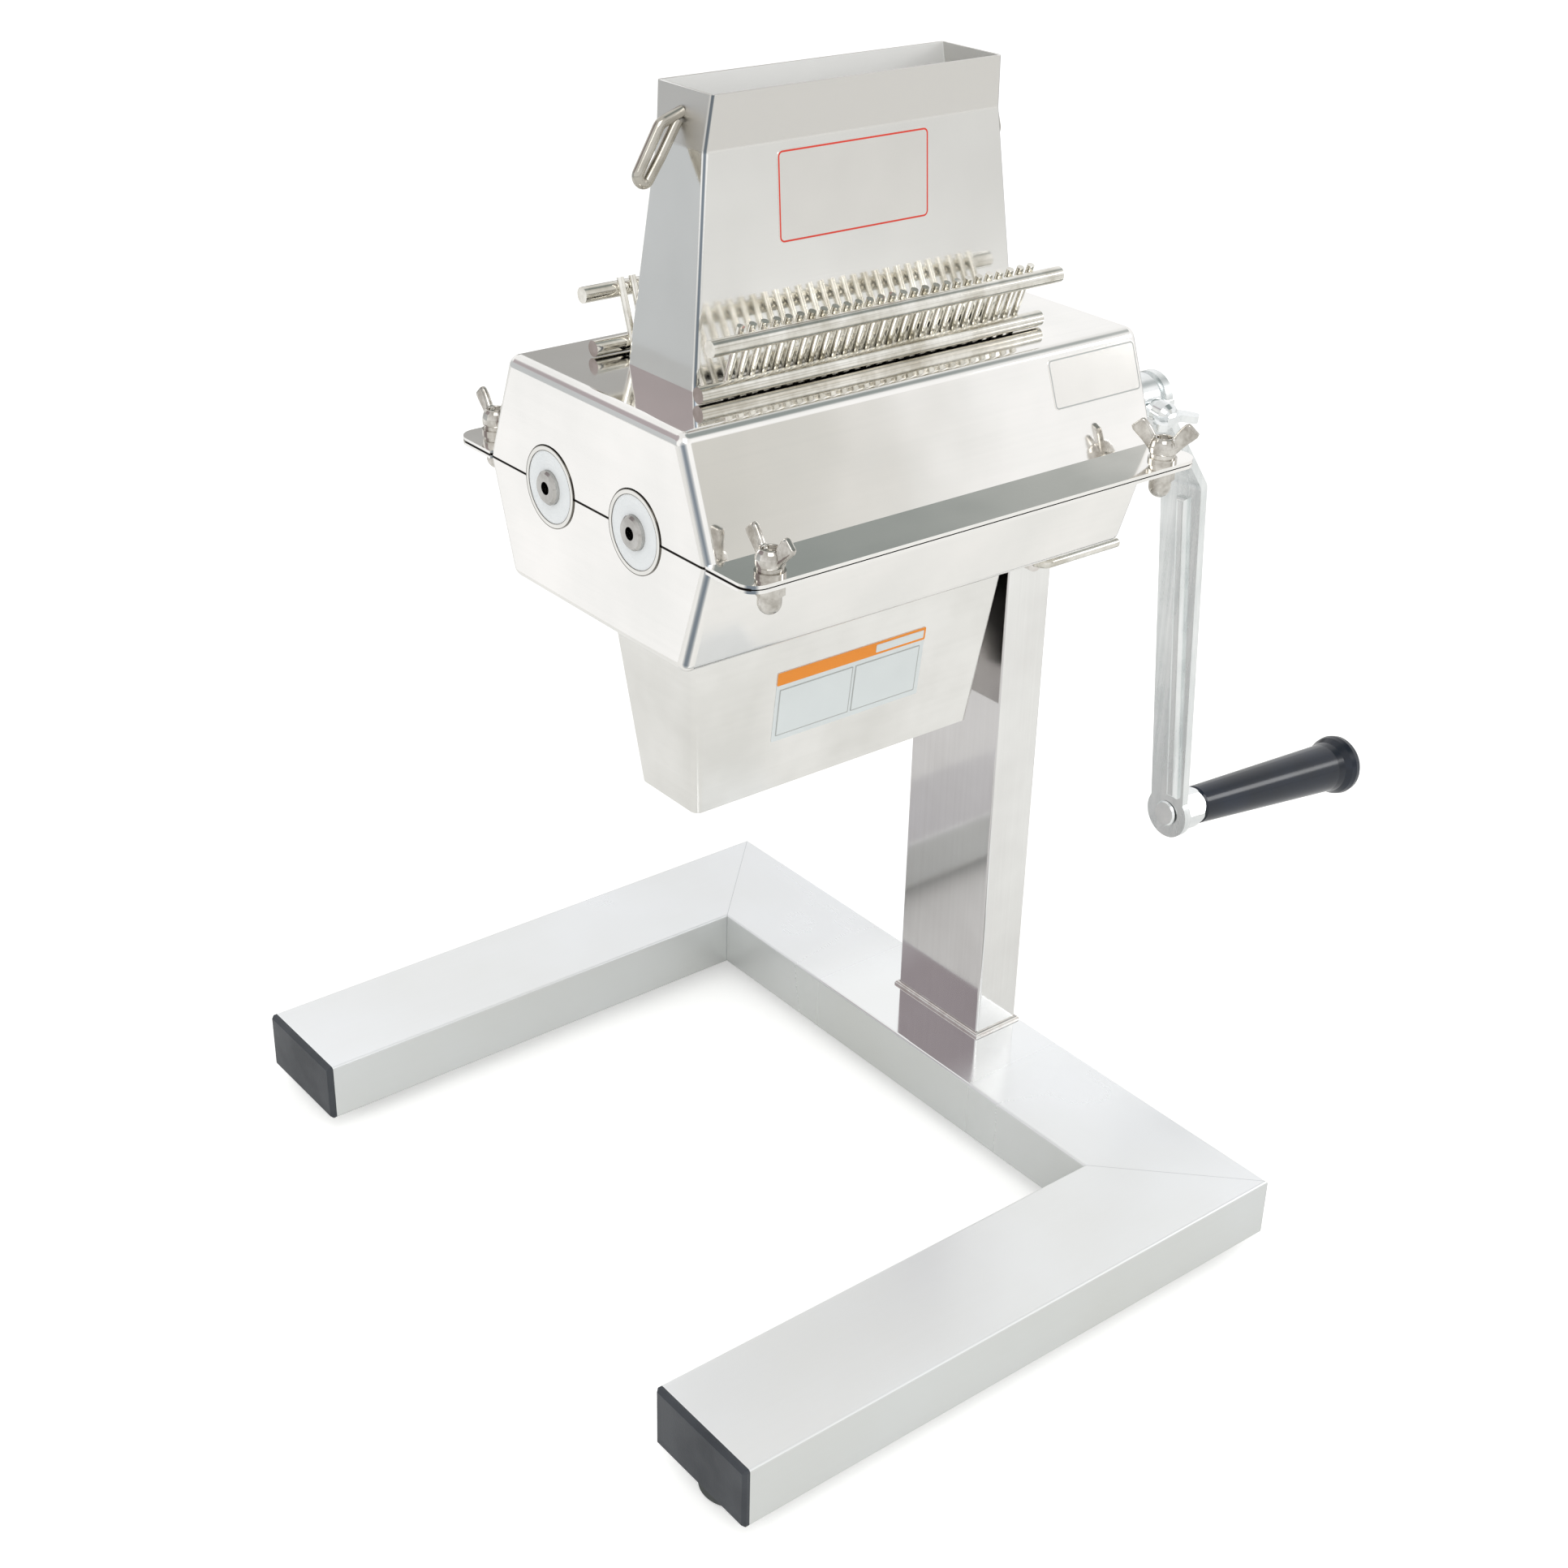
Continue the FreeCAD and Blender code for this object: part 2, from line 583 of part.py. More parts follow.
def duct(name, middle, half_lengths, half_widths, corner):
    """Four sheet walls; each list holds (height, half size) from the lower end upwards."""
    body = new_body(name)
    front = new_sketch(body, "XZ_Plane")
    outline = [(f"{middle} + {half}", height) for height, half in half_lengths]
    outline += [(f"{middle} - {half}", height) for height, half in reversed(half_lengths)]
    widest = max((half for height, half in half_widths), key=number)
    pad(body, polygon(front, outline), f"{widest} * 2 + 2", midplane=True)
    waste = new_sketch(body, "YZ_Plane", middle)
    low, high = half_widths[0][0], half_widths[-1][0]
    for side in (-1, 1):
        edge = [(f"{side} * {half}", height) for height, half in half_widths]
        polygon(waste, edge + [(f"{side} * ({widest} + 2)", high), (f"{side} * ({widest} + 2)", low)])
    block = cut_through(body, waste, "head_length * 2")
    folds = [number(height) for height, half in half_widths[1:-1]]
    for fold in folds:
        block = soften(body, block, level(fold), "4")
    rounded = soften(body, block, lambda a, b: abs(a.x - b.x) < 10 and abs(a.z - b.z) > 0.5, corner)
    mouths = [f"Face{index}" for index, face in enumerate(rounded.Shape.Faces, start=1)
              if min(abs(face.CenterOfMass.z - number(end)) for end in (low, high)) < 0.01]
    feature(body, "Thickness", Base=(rounded, mouths), Value="hopper_sheet", Reversed=True)
    return body


hopper = duct("hopper", "hopper_middle_x",
              [("top_z", "hopper_foot_half"), ("mouth_z", "mouth_half")],
              [("top_z", "hopper_foot_wide"), ("neck_z", "neck_wide"), ("mouth_z", "mouth_wide")], "1.8")
chute = duct("discharge_chute", "chute_middle_x",
             [("chute_end_z", "chute_end_half"), ("under_z", "chute_top_half")],
             [("chute_end_z", "chute_end_wide"), ("under_z", "chute_top_wide")], "3")
keep(hopper, chute)


# ---------------------------------------------------------------- hopper loops
# A rod welded to the hopper's end wall: it steps out, bends down, turns back on itself
# and meets its own root again.  The right one is bent closer to its wall.

LOOP_RAD = 1.9
LOOP_PATH = ((-31.7, 426.5), (-40.3, 423.6), (-49.7, 407.7), (-46.3, 404.7), (-40.1, 413.6))
LOOP_BENDS = (4.0, 2.3, 2.0)
LOOP_RETURN = (-33.6, 423.9)
RIGHT_LOOP_BEND = 14


def rounded_wire(points, radii):
    """Straight runs through the points, with an arc of each radius at the inner ones."""
    edges = []
    start = points[0]
    for corner, after, radius in zip(points[1:], points[2:], radii):
        back = (start - corner).normalize()
        ahead = (after - corner).normalize()
        half = back.getAngle(ahead) / 2
        first = corner + back * (radius / math.tan(half))
        last = corner + ahead * (radius / math.tan(half))
        middle_line = (back + ahead).normalize()
        middle = corner + middle_line * (radius / math.sin(half) - radius)
        edges += [Part.LineSegment(start, first).toShape(), Part.Arc(first, middle, last).toShape()]
        start = last
    edges.append(Part.LineSegment(start, points[-1]).toShape())
    return Part.Wire(edges)


def loop_shape(bend):
    points = [Vector(x, 0, z) for x, z in LOOP_PATH]
    wire = rounded_wire(points, LOOP_BENDS)
    end = Part.Wire(Part.makeCircle(LOOP_RAD, points[0], points[1] - points[0]))
    bent = wire.makePipeShell([end], True, False)
    back = Vector(LOOP_RETURN[0], 0, LOOP_RETURN[1]) - points[-1]
    leg = Part.makeCylinder(LOOP_RAD, back.Length, points[-1], back)
    loop = bent.fuse(leg)
    loop.rotate(points[0], Vector(0, -1, 0), bend)
    outside = loop.cut(hopper.Shape).removeSplitter()
    return max(outside.Solids, key=lambda solid: solid.Volume)


def hopper_loop(name, mirrored):
    item = doc.addObject("Part::Feature", name)
    item.Label = name
    shape = loop_shape(RIGHT_LOOP_BEND if mirrored else 0)
    if mirrored:
        shape = shape.mirror(Vector(number("hopper_middle_x"), 0, 0), Vector(1, 0, 0))
    item.Shape = shape
    return item


keep(hopper_loop("hopper_loop_left", False), hopper_loop("hopper_loop_right", True))


# ---------------------------------------------------------------- bearings
# A steel collar in each round cut-out, with a nylon bush for the shaft's journal.

def tube_on_roller(name, side, start, length, outer, inner):
    """A ring along X on one roller axis."""
    body = new_body(name)
    ring = new_sketch(body, "YZ_Plane", start)
    circle(ring, f"{side} * roller_y", "part_z", outer)
    circle(ring, f"{side} * roller_y", "part_z", inner)
    pad(body, ring, length)
    return body


ROLLER_SIDES = {"front": -1, "rear": 1}
BUSH_STARTS = {"left": f"{HEAD_LEFT} - 0.2", "right": f"{HEAD_RIGHT} + 0.2 - bush_length"}
COLLAR_STARTS = {"left": f"{HEAD_LEFT} - 0.4", "right": f"{HEAD_RIGHT} + 0.4 - 9"}
for side_name, side in ROLLER_SIDES.items():
    for end in ("left", "right"):
        keep(tube_on_roller(f"bearing_collar_{side_name}_{end}", side, COLLAR_STARTS[end], "9",
                            "collar_rad", "bush_rad"))
        keep(tube_on_roller(f"bearing_bush_{side_name}_{end}", side, BUSH_STARTS[end], "bush_length",
                            "bush_rad", "journal_rad + bush_play"))


# ---------------------------------------------------------------- rollers
# A shaft with shoulders between the bushes, a sleeve, the toothed blades with their
# spacers, and a gear at the crank end.

SHOULDER_LEFT = f"{HEAD_LEFT} - 0.2 + bush_length + 0.3"
SHOULDER_RIGHT = f"{HEAD_RIGHT} + 0.2 - bush_length - 0.3"
BLADE_COUNT = int(number("finger_count")) + 1
FIRST_BLADE = "hopper_middle_x - pitch * finger_count / 2 - blade_thick / 2"
LAST_BLADE_END = "hopper_middle_x + pitch * finger_count / 2 + blade_thick / 2"
SHAFT_ENDS = {"front": "hub_end - 6", "rear": f"{HEAD_RIGHT} + 2.2"}


def roller_shaft(side_name, side):
    body = new_body(f"{side_name}_shaft")
    left, right = f"{HEAD_LEFT} - 2.2", SHAFT_ENDS[side_name]
    profile = [(left, "0"), (left, "journal_rad - 0.8"), (f"{left} + 0.8", "journal_rad")]
    profile += [(SHOULDER_LEFT, "journal_rad"), (SHOULDER_LEFT, "shaft_rad")]
    profile += [(SHOULDER_RIGHT, "shaft_rad"), (SHOULDER_RIGHT, "journal_rad")]
    profile += [(f"{right} - 0.8", "journal_rad"), (right, "journal_rad - 0.8"), (right, "0")]
    revolve(body, profile, axis="H_Axis")
    ends = [(left, "8")] if side_name == "front" else [(left, "8"), (right, "8")]
    for place, depth in ends:
        dimple = circle(new_sketch(body, "YZ_Plane", place), "0", "0", "2.3")
        cut_through(body, dimple, f"{depth} * 2")
    bind(body, Base_y=f"{side} * roller_y", Base_z="part_z")
    return body


def disc_face(points, bore):
    """A flat face in the YZ plane around the X axis, with a round bore."""
    outline = Part.Wire(Part.makePolygon([Vector(0, y, z) for y, z in points + points[:1]]))
    hole = Part.Wire(Part.makeCircle(bore, Vector(0, 0, 0), Vector(1, 0, 0)))
    return Part.Face(outline).cut(Part.Face(hole))


def polar(radius, angle):
    return (radius * math.cos(angle), radius * math.sin(angle))


def blade_solid():
    """A thin disc with V shaped notches between flat teeth."""
    teeth = 20
    step = 2 * math.pi / teeth
    points = []
    for index in range(teeth):
        points.append(polar(number("blade_rad"), index * step - 0.2 * step))
        points.append(polar(number("blade_rad"), index * step + 0.2 * step))
        points.append(polar(number("blade_root_rad"), index * step + 0.5 * step))
    return disc_face(points, number("shaft_rad")).extrude(Vector(number("blade_thick"), 0, 0)), step


def blade_pack(side_name, side):
    """Blades a pitch apart, each turned a quarter tooth further than the last."""
    blade, step = blade_solid()
    spot = Vector(number(FIRST_BLADE), number(f"{side} * roller_y"), number("part_z"))
    blades = []
    for index in range(BLADE_COUNT):
        turned = blade.copy()
        turned.rotate(Vector(0, 0, 0), Vector(1, 0, 0), math.degrees(-side * index * step / 4))
        turned.translate(spot + Vector(index * number("pitch"), 0, 0))
        blades.append(turned)
    return compound(f"{side_name}_blades", blades)


def spacer_pack(side_name, side):
    gap = number("pitch - blade_thick")
    axis = Vector(1, 0, 0)
    spacers = []
    for index in range(BLADE_COUNT - 1):
        x = number(FIRST_BLADE) + number("blade_thick") + index * number("pitch")
        spot = Vector(x, number(f"{side} * roller_y"), number("part_z"))
        ring = Part.makeCylinder(number("spacer_rad"), gap, spot, axis)
        spacers.append(ring.cut(Part.makeCylinder(number("shaft_rad"), gap, spot, axis)))
    return compound(f"{side_name}_spacers", spacers)


def gear_outline(teeth, module, backlash, turn):
    """Involute flanks drawn with straight runs, at a pressure angle of 20 degrees."""
    pitch_rad = teeth * module / 2
    base_rad = pitch_rad * math.cos(math.radians(20))
    root_rad = pitch_rad - 1.25 * module
    tip_rad = pitch_rad + 0.95 * module

    def involute(radius):
        slope = math.acos(min(1, base_rad / radius))
        return math.tan(slope) - slope

    half_at_pitch = math.pi / (2 * teeth) - backlash / (2 * pitch_rad)
    radii = [base_rad + share * (tip_rad - base_rad) for share in (0, 0.25, 0.5, 0.75, 1)]
    halves = [half_at_pitch + involute(pitch_rad) - involute(radius) for radius in radii]
    points = []
    for index in range(teeth):
        middle = turn + index * 2 * math.pi / teeth
        points.append(polar(root_rad, middle - halves[0]))
        points += [polar(radius, middle - half) for radius, half in zip(radii, halves)]
        points += [polar(radius, middle + half) for radius, half in zip(radii[::-1], halves[::-1])]
        points.append(polar(root_rad, middle + halves[0]))
    return points


def roller_gear(side_name, side):
    """The two gears are alike; the rear one is turned by half a tooth to mesh."""
    teeth = int(number("gear_teeth"))
    turn = 0 if side_name == "front" else math.pi / teeth
    outline = gear_outline(teeth, number("gear_module"), 0.35, turn)
    wheel = disc_face(outline, number("shaft_rad")).extrude(Vector(number("gear_face"), 0, 0))
    start = number(f"{SHOULDER_RIGHT} - gear_face - 2")
    wheel.translate(Vector(start, 0, 0))
    hub_start = number(LAST_BLADE_END)
    axis = Vector(1, 0, 0)
    hub = Part.makeCylinder(number("spacer_rad"), start - hub_start, Vector(hub_start, 0, 0), axis)
    hub = hub.cut(Part.makeCylinder(number("shaft_rad"), start - hub_start, Vector(hub_start, 0, 0), axis))
    item = doc.addObject("Part::Feature", f"{side_name}_gear")
    item.Label = f"{side_name}_gear"
    item.Shape = wheel.fuse(hub).removeSplitter()
    item.Placement = FreeCAD.Placement(Vector(0, number(f"{side} * roller_y"), number("part_z")), Rotation())
    return item


for side_name, side in ROLLER_SIDES.items():
    keep(roller_shaft(side_name, side), blade_pack(side_name, side), spacer_pack(side_name, side))
    keep(roller_gear(side_name, side))
    keep(tube_on_roller(f"{side_name}_sleeve", side, f"{SHOULDER_LEFT} + 1",
                        f"{FIRST_BLADE} - ({SHOULDER_LEFT}) - 1", "spacer_rad", "shaft_rad"))


# ---------------------------------------------------------------- combs
# Round fingers welded to two rods.  A comb hangs in a slot of the upper housing and its
# fingers pass between the blades.

def comb(side_name, side):
    lean = math.radians(number("comb_angle"))
    down = Vector(0, -side * math.sin(lean), -math.cos(lean))
    upper = Vector(number("hopper_middle_x"), side * number("comb_y"), number("comb_z"))
    lower_z = number("top_z + comb_rod_rad + 0.3")
    lower = upper + down * ((upper.z - lower_z) / math.cos(lean))
    rods = []
    along = Rotation(Vector(0, 0, 1), Vector(1, 0, 0))
    for rod_name, spot in (("top", upper), ("lower", lower)):
        rod = primitive("Cylinder", f"{side_name}_comb_{rod_name}_rod", Radius="comb_rod_rad",
                        Height=f"comb_{rod_name}_rod")
        rod.Label = f"{side_name}_comb_{rod_name}_rod"
        rod.Placement = FreeCAD.Placement(Vector(number("comb_rod_left"), spot.y, spot.z), along)
        rods.append(rod)
    inward = Vector(0, -side * math.cos(lean), math.sin(lean))
    line = upper + inward * number("comb_rod_rad + finger_rad - 0.4")
    top = line - down * 3.5
    length = (top.z - number("finger_tip_z")) / math.cos(lean)
    first = -number("pitch * (finger_count - 1) / 2")
    fingers = []
    for index in range(int(number("finger_count"))):
        start = top + Vector(first + index * number("pitch"), 0, 0)
        fingers.append(Part.makeCylinder(number("finger_rad"), length, start, down))
    return rods + [compound(f"{side_name}_comb_fingers", fingers)]


for side_name, side in ROLLER_SIDES.items():
    keep(*comb(side_name, side))


# ---------------------------------------------------------------- clamp bolts
# A dome nut under the flanges, a threaded bolt through them, two washers and a wing nut.

FLANGE_TOP = "part_z + part_gap / 2 + sheet"
FLANGE_UNDER = "part_z - part_gap / 2 - sheet"


def bolt_places():
    for end_name, end in (("left", -1), ("right", 1)):
        for side_name, side in ROLLER_SIDES.items():
            x, y = number(f"head_middle_x + {end} * bolt_x"), number(f"{side} * bolt_y")
            yield f"{side_name}_{end_name}", x, y


def at_bolts(name, shape):
    """One copy of the shape at each of the four bolts."""
    copies = []
    for place, x, y in bolt_places():
        copy = shape.copy()
        copy.translate(Vector(x, y, 0))
        copies.append(copy)
    return compound(name, copies)


def dome_nut():
    """Hexagon with a domed end, blind from above."""
    top = number(FLANGE_UNDER)
    corners = [Vector(*polar(5, 0.3 + index * math.pi / 3), top - 4.4) for index in range(7)]
    hexagon = Part.Face(Part.makePolygon(corners)).extrude(Vector(0, 0, 4.4))
    barrel = Part.makeCylinder(4, 2.6, Vector(0, 0, top - 7))
    dome = Part.makeSphere(4, Vector(0, 0, top - 7))
    bore = Part.makeCylinder(2.5, 8, Vector(0, 0, top - 8))
    return hexagon.fuse([barrel, dome]).cut(bore).removeSplitter()


def washer(outer, low, high):
    ring = Part.makeCylinder(outer, high - low, Vector(0, 0, low))
    return ring.cut(Part.makeCylinder(2.65, high - low, Vector(0, 0, low)))


flange_top = number(FLANGE_TOP)
bolt = Part.makeCylinder(2.5, 18.2, Vector(0, 0, number(FLANGE_UNDER) - 8))
split_washer = washer(4.5, flange_top + 1.2, flange_top + 2.9)
split_washer = split_washer.cut(Part.makeBox(4, 0.8, 4, Vector(2.2, -0.4, flange_top + 0.2)))
keep(at_bolts("dome_nuts", dome_nut()), at_bolts("clamp_bolts", bolt))
keep(at_bolts("flat_washers", washer(5.2, flange_top, flange_top + 1.2)))
keep(at_bolts("spring_washers", split_washer))


def wing_nut(name, x, y, turn):
    """A round hub with a domed top and two wings that lean outwards."""
    barrel = primitive("Cylinder", name + "_barrel", Radius="5", Height="4.2")
    crown = primitive("Cone", name + "_crown", Radius1="5", Radius2="3.4", Height="1.6")
    crown.Placement = FreeCAD.Placement(Vector(0, 0, 4.2), Rotation())
    wings = []
    for side in (-1, 1):
        blank = primitive("Box", f"{name}_blank_{side + 2}", Length="5.6", Width="2.2", Height="10.8")
        corner = doc.addObject("Part::Fillet", f"{name}_wing_{side + 2}")
        corner.Base = blank
        doc.recompute()
        tips = [index for index, edge in enumerate(blank.Shape.Edges, start=1)
                if edge.CenterOfMass.z > 10.7 and abs(edge.CenterOfMass.y - 1.1) < 0.01]
        corner.Edges = [(index, 2.2, 2.2) for index in tips]
        lean = Rotation(Vector(0, 1, 0), side * 39)
        root = Vector(side * 3.4, 0, 1.6) - lean.multVec(Vector(2.8, 1.1, 0))
        corner.Placement = FreeCAD.Placement(root, lean)
        wings.append(corner)
    metal = doc.addObject("Part::MultiFuse", name + "_metal")
    metal.Shapes = [barrel, crown] + wings
    thread = primitive("Cylinder", name + "_thread", Radius="2.58", Height="20")
    nut = boolean("Cut", name, metal, thread)
    thread.Placement = FreeCAD.Placement(Vector(0, 0, -1), Rotation())
    nut.Placement = FreeCAD.Placement(Vector(x, y, flange_top + 3.0), Rotation(turn, 0, 0))
    return nut


WING_TURNS = {"front_left": 90, "front_right": -60, "rear_left": 28, "rear_right": 74}
for place, x, y in bolt_places():
    keep(wing_nut(f"wing_nut_{place}", x, y, WING_TURNS[place]))


# ---------------------------------------------------------------- crank
# Modelled hanging straight down from an axis through the origin, then set on the front
# roller's axis and turned to its rest angle.

HUB_SPOT = Vector(0, -number("roller_y"), number("part_z"))
CRANK_PLACE = FreeCAD.Placement(HUB_SPOT, Rotation(Vector(1, 0, 0), number("crank_turn")))
SCREW_PLACE = FreeCAD.Placement(HUB_SPOT, Rotation(Vector(1, 0, 0), number("screw_turn")))
GRIP_LOCAL = FreeCAD.Placement(Vector(number("arm_face + arm_thick / 2"), 0, -number("crank_rad")),
                               Rotation(Vector(0, 1, 0), number("grip_splay")))
GRIP_PLACE = CRANK_PLACE * GRIP_LOCAL


def crank_hub():
    body = new_body("crank_hub")
    profile = [("hub_start", "journal_rad"), ("hub_start", "hub_rad - 1.2"), ("hub_start + 1.2", "hub_rad")]
    profile += [("hub_end - 3", "hub_rad"), ("hub_end", "hub_rad - 2"), ("hub_end", "0")]
    profile += [("hub_end - 6", "0"), ("hub_end - 6", "journal_rad")]
    revolve(body, profile, axis="H_Axis")
    thread = circle(new_sketch(body, "XZ_Plane"), "screw_x", "0", "3.08")
    cut_through(body, thread, "hub_rad + 5", midplane=False, reverse=True)
    body.Placement = SCREW_PLACE
    return body


def crank_arm():
    """Flat bar that steps out from the hub, with a raised rib and a round eye."""
    start = "hub_end"
    side_view = new_body("arm_side_view")
    outline = [("hub_end", "hub_rad"), ("hub_end + arm_thick", "hub_rad")]
    outline += [("hub_end + arm_thick", "-5.4"), ("arm_face + arm_thick", "-37.9")]
    outline += [("arm_face + arm_thick", "-crank_rad - eye_rad"), ("arm_face", "-crank_rad - eye_rad")]
    outline += [("arm_face", "-38.9"), ("hub_end", "-6.4")]
    bar = pad(side_view, polygon(new_sketch(side_view, "XZ_Plane"), outline), "60", midplane=True)
    bends = (-5.4, -37.9, -38.9, -6.4)
    soften(side_view, bar, lambda a, b: abs(a.y - b.y) > 9 and any(abs(a.z - z) < 0.01 for z in bends), "5")

    front_view = new_body("arm_front_view")
    face = new_sketch(front_view, "YZ_Plane", start)
    half_top, half_end = "arm_top_wide / 2", "arm_end_wide / 2"
    polygon(face, [(f"-{half_top}", "0"), (half_top, "0"), (half_top, "-40"), (half_end, "-crank_rad"),
                   (f"-{half_end}", "-crank_rad"), (f"-{half_top}", "-40")])
    pad(front_view, face, "60")
    eye = circle(new_sketch(front_view, "YZ_Plane", start), "0", "-crank_rad", "eye_rad")
    pad(front_view, eye, "60")
    crown = circle(new_sketch(front_view, "YZ_Plane", start), "0", "0", "hub_rad")
    pad(front_view, crown, "60")
    bar_shape = boolean("Common", "arm_bar", side_view, front_view)

    rib = new_body("arm_rib")
    strip = new_sketch(rib, "YZ_Plane", "arm_face - 2.4")
    polygon(strip, [("-4.8", "-44"), ("1", "-44"), ("-0.8", "-crank_rad + 9"), ("-6.6", "-crank_rad + 9")])
    raised = pad(rib, strip, "3")
    soften(rib, raised, lambda a, b: abs(a.x - number("arm_face - 2.4")) < 0.01
           and abs(b.x - number("arm_face - 2.4")) < 0.01, "1.8")
    metal = boolean("Fuse", "arm_metal", bar_shape, rib)

    hole = primitive("Cylinder", "arm_hole", Radius="3.9", Height="20")
    hole.Placement = GRIP_LOCAL * FreeCAD.Placement(Vector(-10, 0, 0), Rotation(Vector(0, 1, 0), 90))
    arm = boolean("Cut", "crank_arm", metal, hole)
    arm.Placement = CRANK_PLACE
    return arm


def thumb_screw():
    """Screw with a round boss and a flat wing, driven into the side of the hub."""
    body = new_body("thumb_screw")
    tip, shoulder, crown = "journal_rad + 0.3", "hub_rad + 0.6", "hub_rad + 10.1"
    profile = [("0", tip), ("3", tip), ("3", shoulder), ("4.6", shoulder), ("5.2", "hub_rad + 3")]
    profile += [("5.2", "hub_rad + 7.4"), ("4.2", "hub_rad + 9.4"), ("2.6", crown), ("0", crown)]
    revolve(body, profile)
    wing = new_sketch(body, "XZ_Plane")
    half = [("4", "hub_rad + 3.9"), ("8.3", "hub_rad + 8.7"), ("11.6", "hub_rad + 13.3")]
    half += [("8", "hub_rad + 15.9"), ("4", "hub_rad + 11.3")]
    outline = half + [(f"-{across}", along) for across, along in reversed(half)]
    plate = pad(body, polygon(wing, outline), "2.8", midplane=True)
    low = number("hub_rad + 12")
    soften(body, plate, lambda a, b: abs(a.y - b.y) > 2.7 and abs(a.x) > 7.5 and a.z > low, "1.6")
    outward = Rotation(Vector(1, 0, 0), 90)
    body.Placement = SCREW_PLACE * FreeCAD.Placement(Vector(number("screw_x"), 0, 0), outward)
    return body


def grip_spindle():
    """Rivet through the eye, a pin inside the grip and a flat head at its outer end."""
    body = new_body("grip_spindle")
    near = "-arm_thick / 2 - 1.6"
    far = "grip_start + arm_thick / 2 + grip_length - 2"
    under = "-arm_thick / 2 - 0.7"
    profile = [(near, "0"), (near, "4.8"), (under, "5.4"), (under, "3.8")]
    profile += [("grip_start + arm_thick / 2", "3.8"), ("grip_start + arm_thick / 2", "3.03")]
    profile += [(f"{far} - 2.5", "3.03"), (f"{far} - 2.5", "5.5"), (far, "5.5"), (far, "0")]
    revolve(body, profile, axis="H_Axis")
    body.Placement = GRIP_PLACE
    return body


def spindle_nut():
    """Hexagon between the eye and the grip."""
    low, high = number("arm_thick / 2 + 0.9"), number("grip_start + arm_thick / 2 - 0.4")
    corners = [Vector(low, *polar(9, index * math.pi / 3)) for index in range(7)]
    hexagon = Part.Face(Part.makePolygon(corners)).extrude(Vector(high - low, 0, 0))
    axis = Vector(1, 0, 0)
    ball = Part.makeCone(8.2, 11, (high - low) / 2, Vector(low, 0, 0), axis)
    ball = ball.fuse(Part.makeCone(11, 7.8, (high - low) / 2, Vector((low + high) / 2, 0, 0), axis))
    item = doc.addObject("Part::Feature", "spindle_nut")
    item.Label = "spindle_nut"
    item.Shape = hexagon.common(ball).cut(Part.makeCylinder(3.8, 40, Vector(-5, 0, 0), axis))
    item.Placement = GRIP_PLACE
    return item


def crank_grip():
    """Tapered plastic grip with a flared, domed end."""
    body = new_body("crank_grip")
    start = "grip_start + arm_thick / 2"
    end = f"{start} + grip_length"
    profile = [(start, "grip_bore"), (start, "7.4"), (f"{start} + 0.8", "8.1"), (f"{end} - 15", "10.6")]
    flare = ((11.5, 11.1), (8.5, 12.6), (6, 13.1), (3.6, 12.7), (1.6, 11.2), (0.4, 8.6), (0, 6.2))
    profile += [(f"{end} - {back}", str(radius)) for back, radius in flare]
    profile += [(f"{end} - 5", "6.2"), (f"{end} - 5", "grip_bore")]
    revolve(body, profile, axis="H_Axis")
    body.Placement = GRIP_PLACE
    return body


keep(crank_hub(), crank_arm(), thumb_screw(), grip_spindle(), spindle_nut(), crank_grip())


# ---------------------------------------------------------------- check and write

doc.recompute()
for item in doc.Objects:
    bad = [state for state in item.State if state in ("Invalid", "Error")]
    if bad:
        raise RuntimeError(f"{item.Label} failed: {bad}")
labels = [node.Label for node in NODES]
if len(set(labels)) != len(labels):
    raise RuntimeError("two sub-parts share a name")
for node in NODES:
    if node.Shape.isNull() or not node.Shape.isValid() or not node.Shape.Solids:
        raise RuntimeError(f"{node.Label} has no valid shape")
to_origin = Vector(-number("origin_x"), 0, 0)
for node in NODES:
    node.Shape.translated(to_origin).exportStep(f"parts/{node.Label}.step")
print(len(NODES), "sub-parts written")
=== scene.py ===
import math

import bmesh
import bpy
from mathutils import Matrix, Vector


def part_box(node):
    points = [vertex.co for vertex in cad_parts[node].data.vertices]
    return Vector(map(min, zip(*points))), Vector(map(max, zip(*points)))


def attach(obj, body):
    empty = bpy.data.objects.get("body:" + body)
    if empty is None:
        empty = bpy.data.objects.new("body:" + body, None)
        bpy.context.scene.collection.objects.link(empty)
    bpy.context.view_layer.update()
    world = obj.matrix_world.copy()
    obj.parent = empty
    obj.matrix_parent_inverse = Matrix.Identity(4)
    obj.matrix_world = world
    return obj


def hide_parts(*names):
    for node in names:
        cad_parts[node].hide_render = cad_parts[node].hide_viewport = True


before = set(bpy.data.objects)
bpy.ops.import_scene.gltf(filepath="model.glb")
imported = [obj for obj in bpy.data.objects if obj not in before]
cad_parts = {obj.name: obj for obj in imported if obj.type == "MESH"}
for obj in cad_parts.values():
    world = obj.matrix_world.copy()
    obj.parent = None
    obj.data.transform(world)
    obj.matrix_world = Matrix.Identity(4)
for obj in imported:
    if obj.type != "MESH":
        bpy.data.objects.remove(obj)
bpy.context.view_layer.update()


# ---------------------------------------------------------------- stand tubes
# Rectangular 304 stainless tube, 50 x 25 mm, mitred and welded into a U, the corners
# ground flush and the whole stand belt ground to an even satin.

CAP_PLATE = 0.0025
STAND_MIDDLE_X = ((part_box("base_arm_front")[0].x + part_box("base_crossbar")[1].x) / 2
                  - CAP_PLATE / 2)


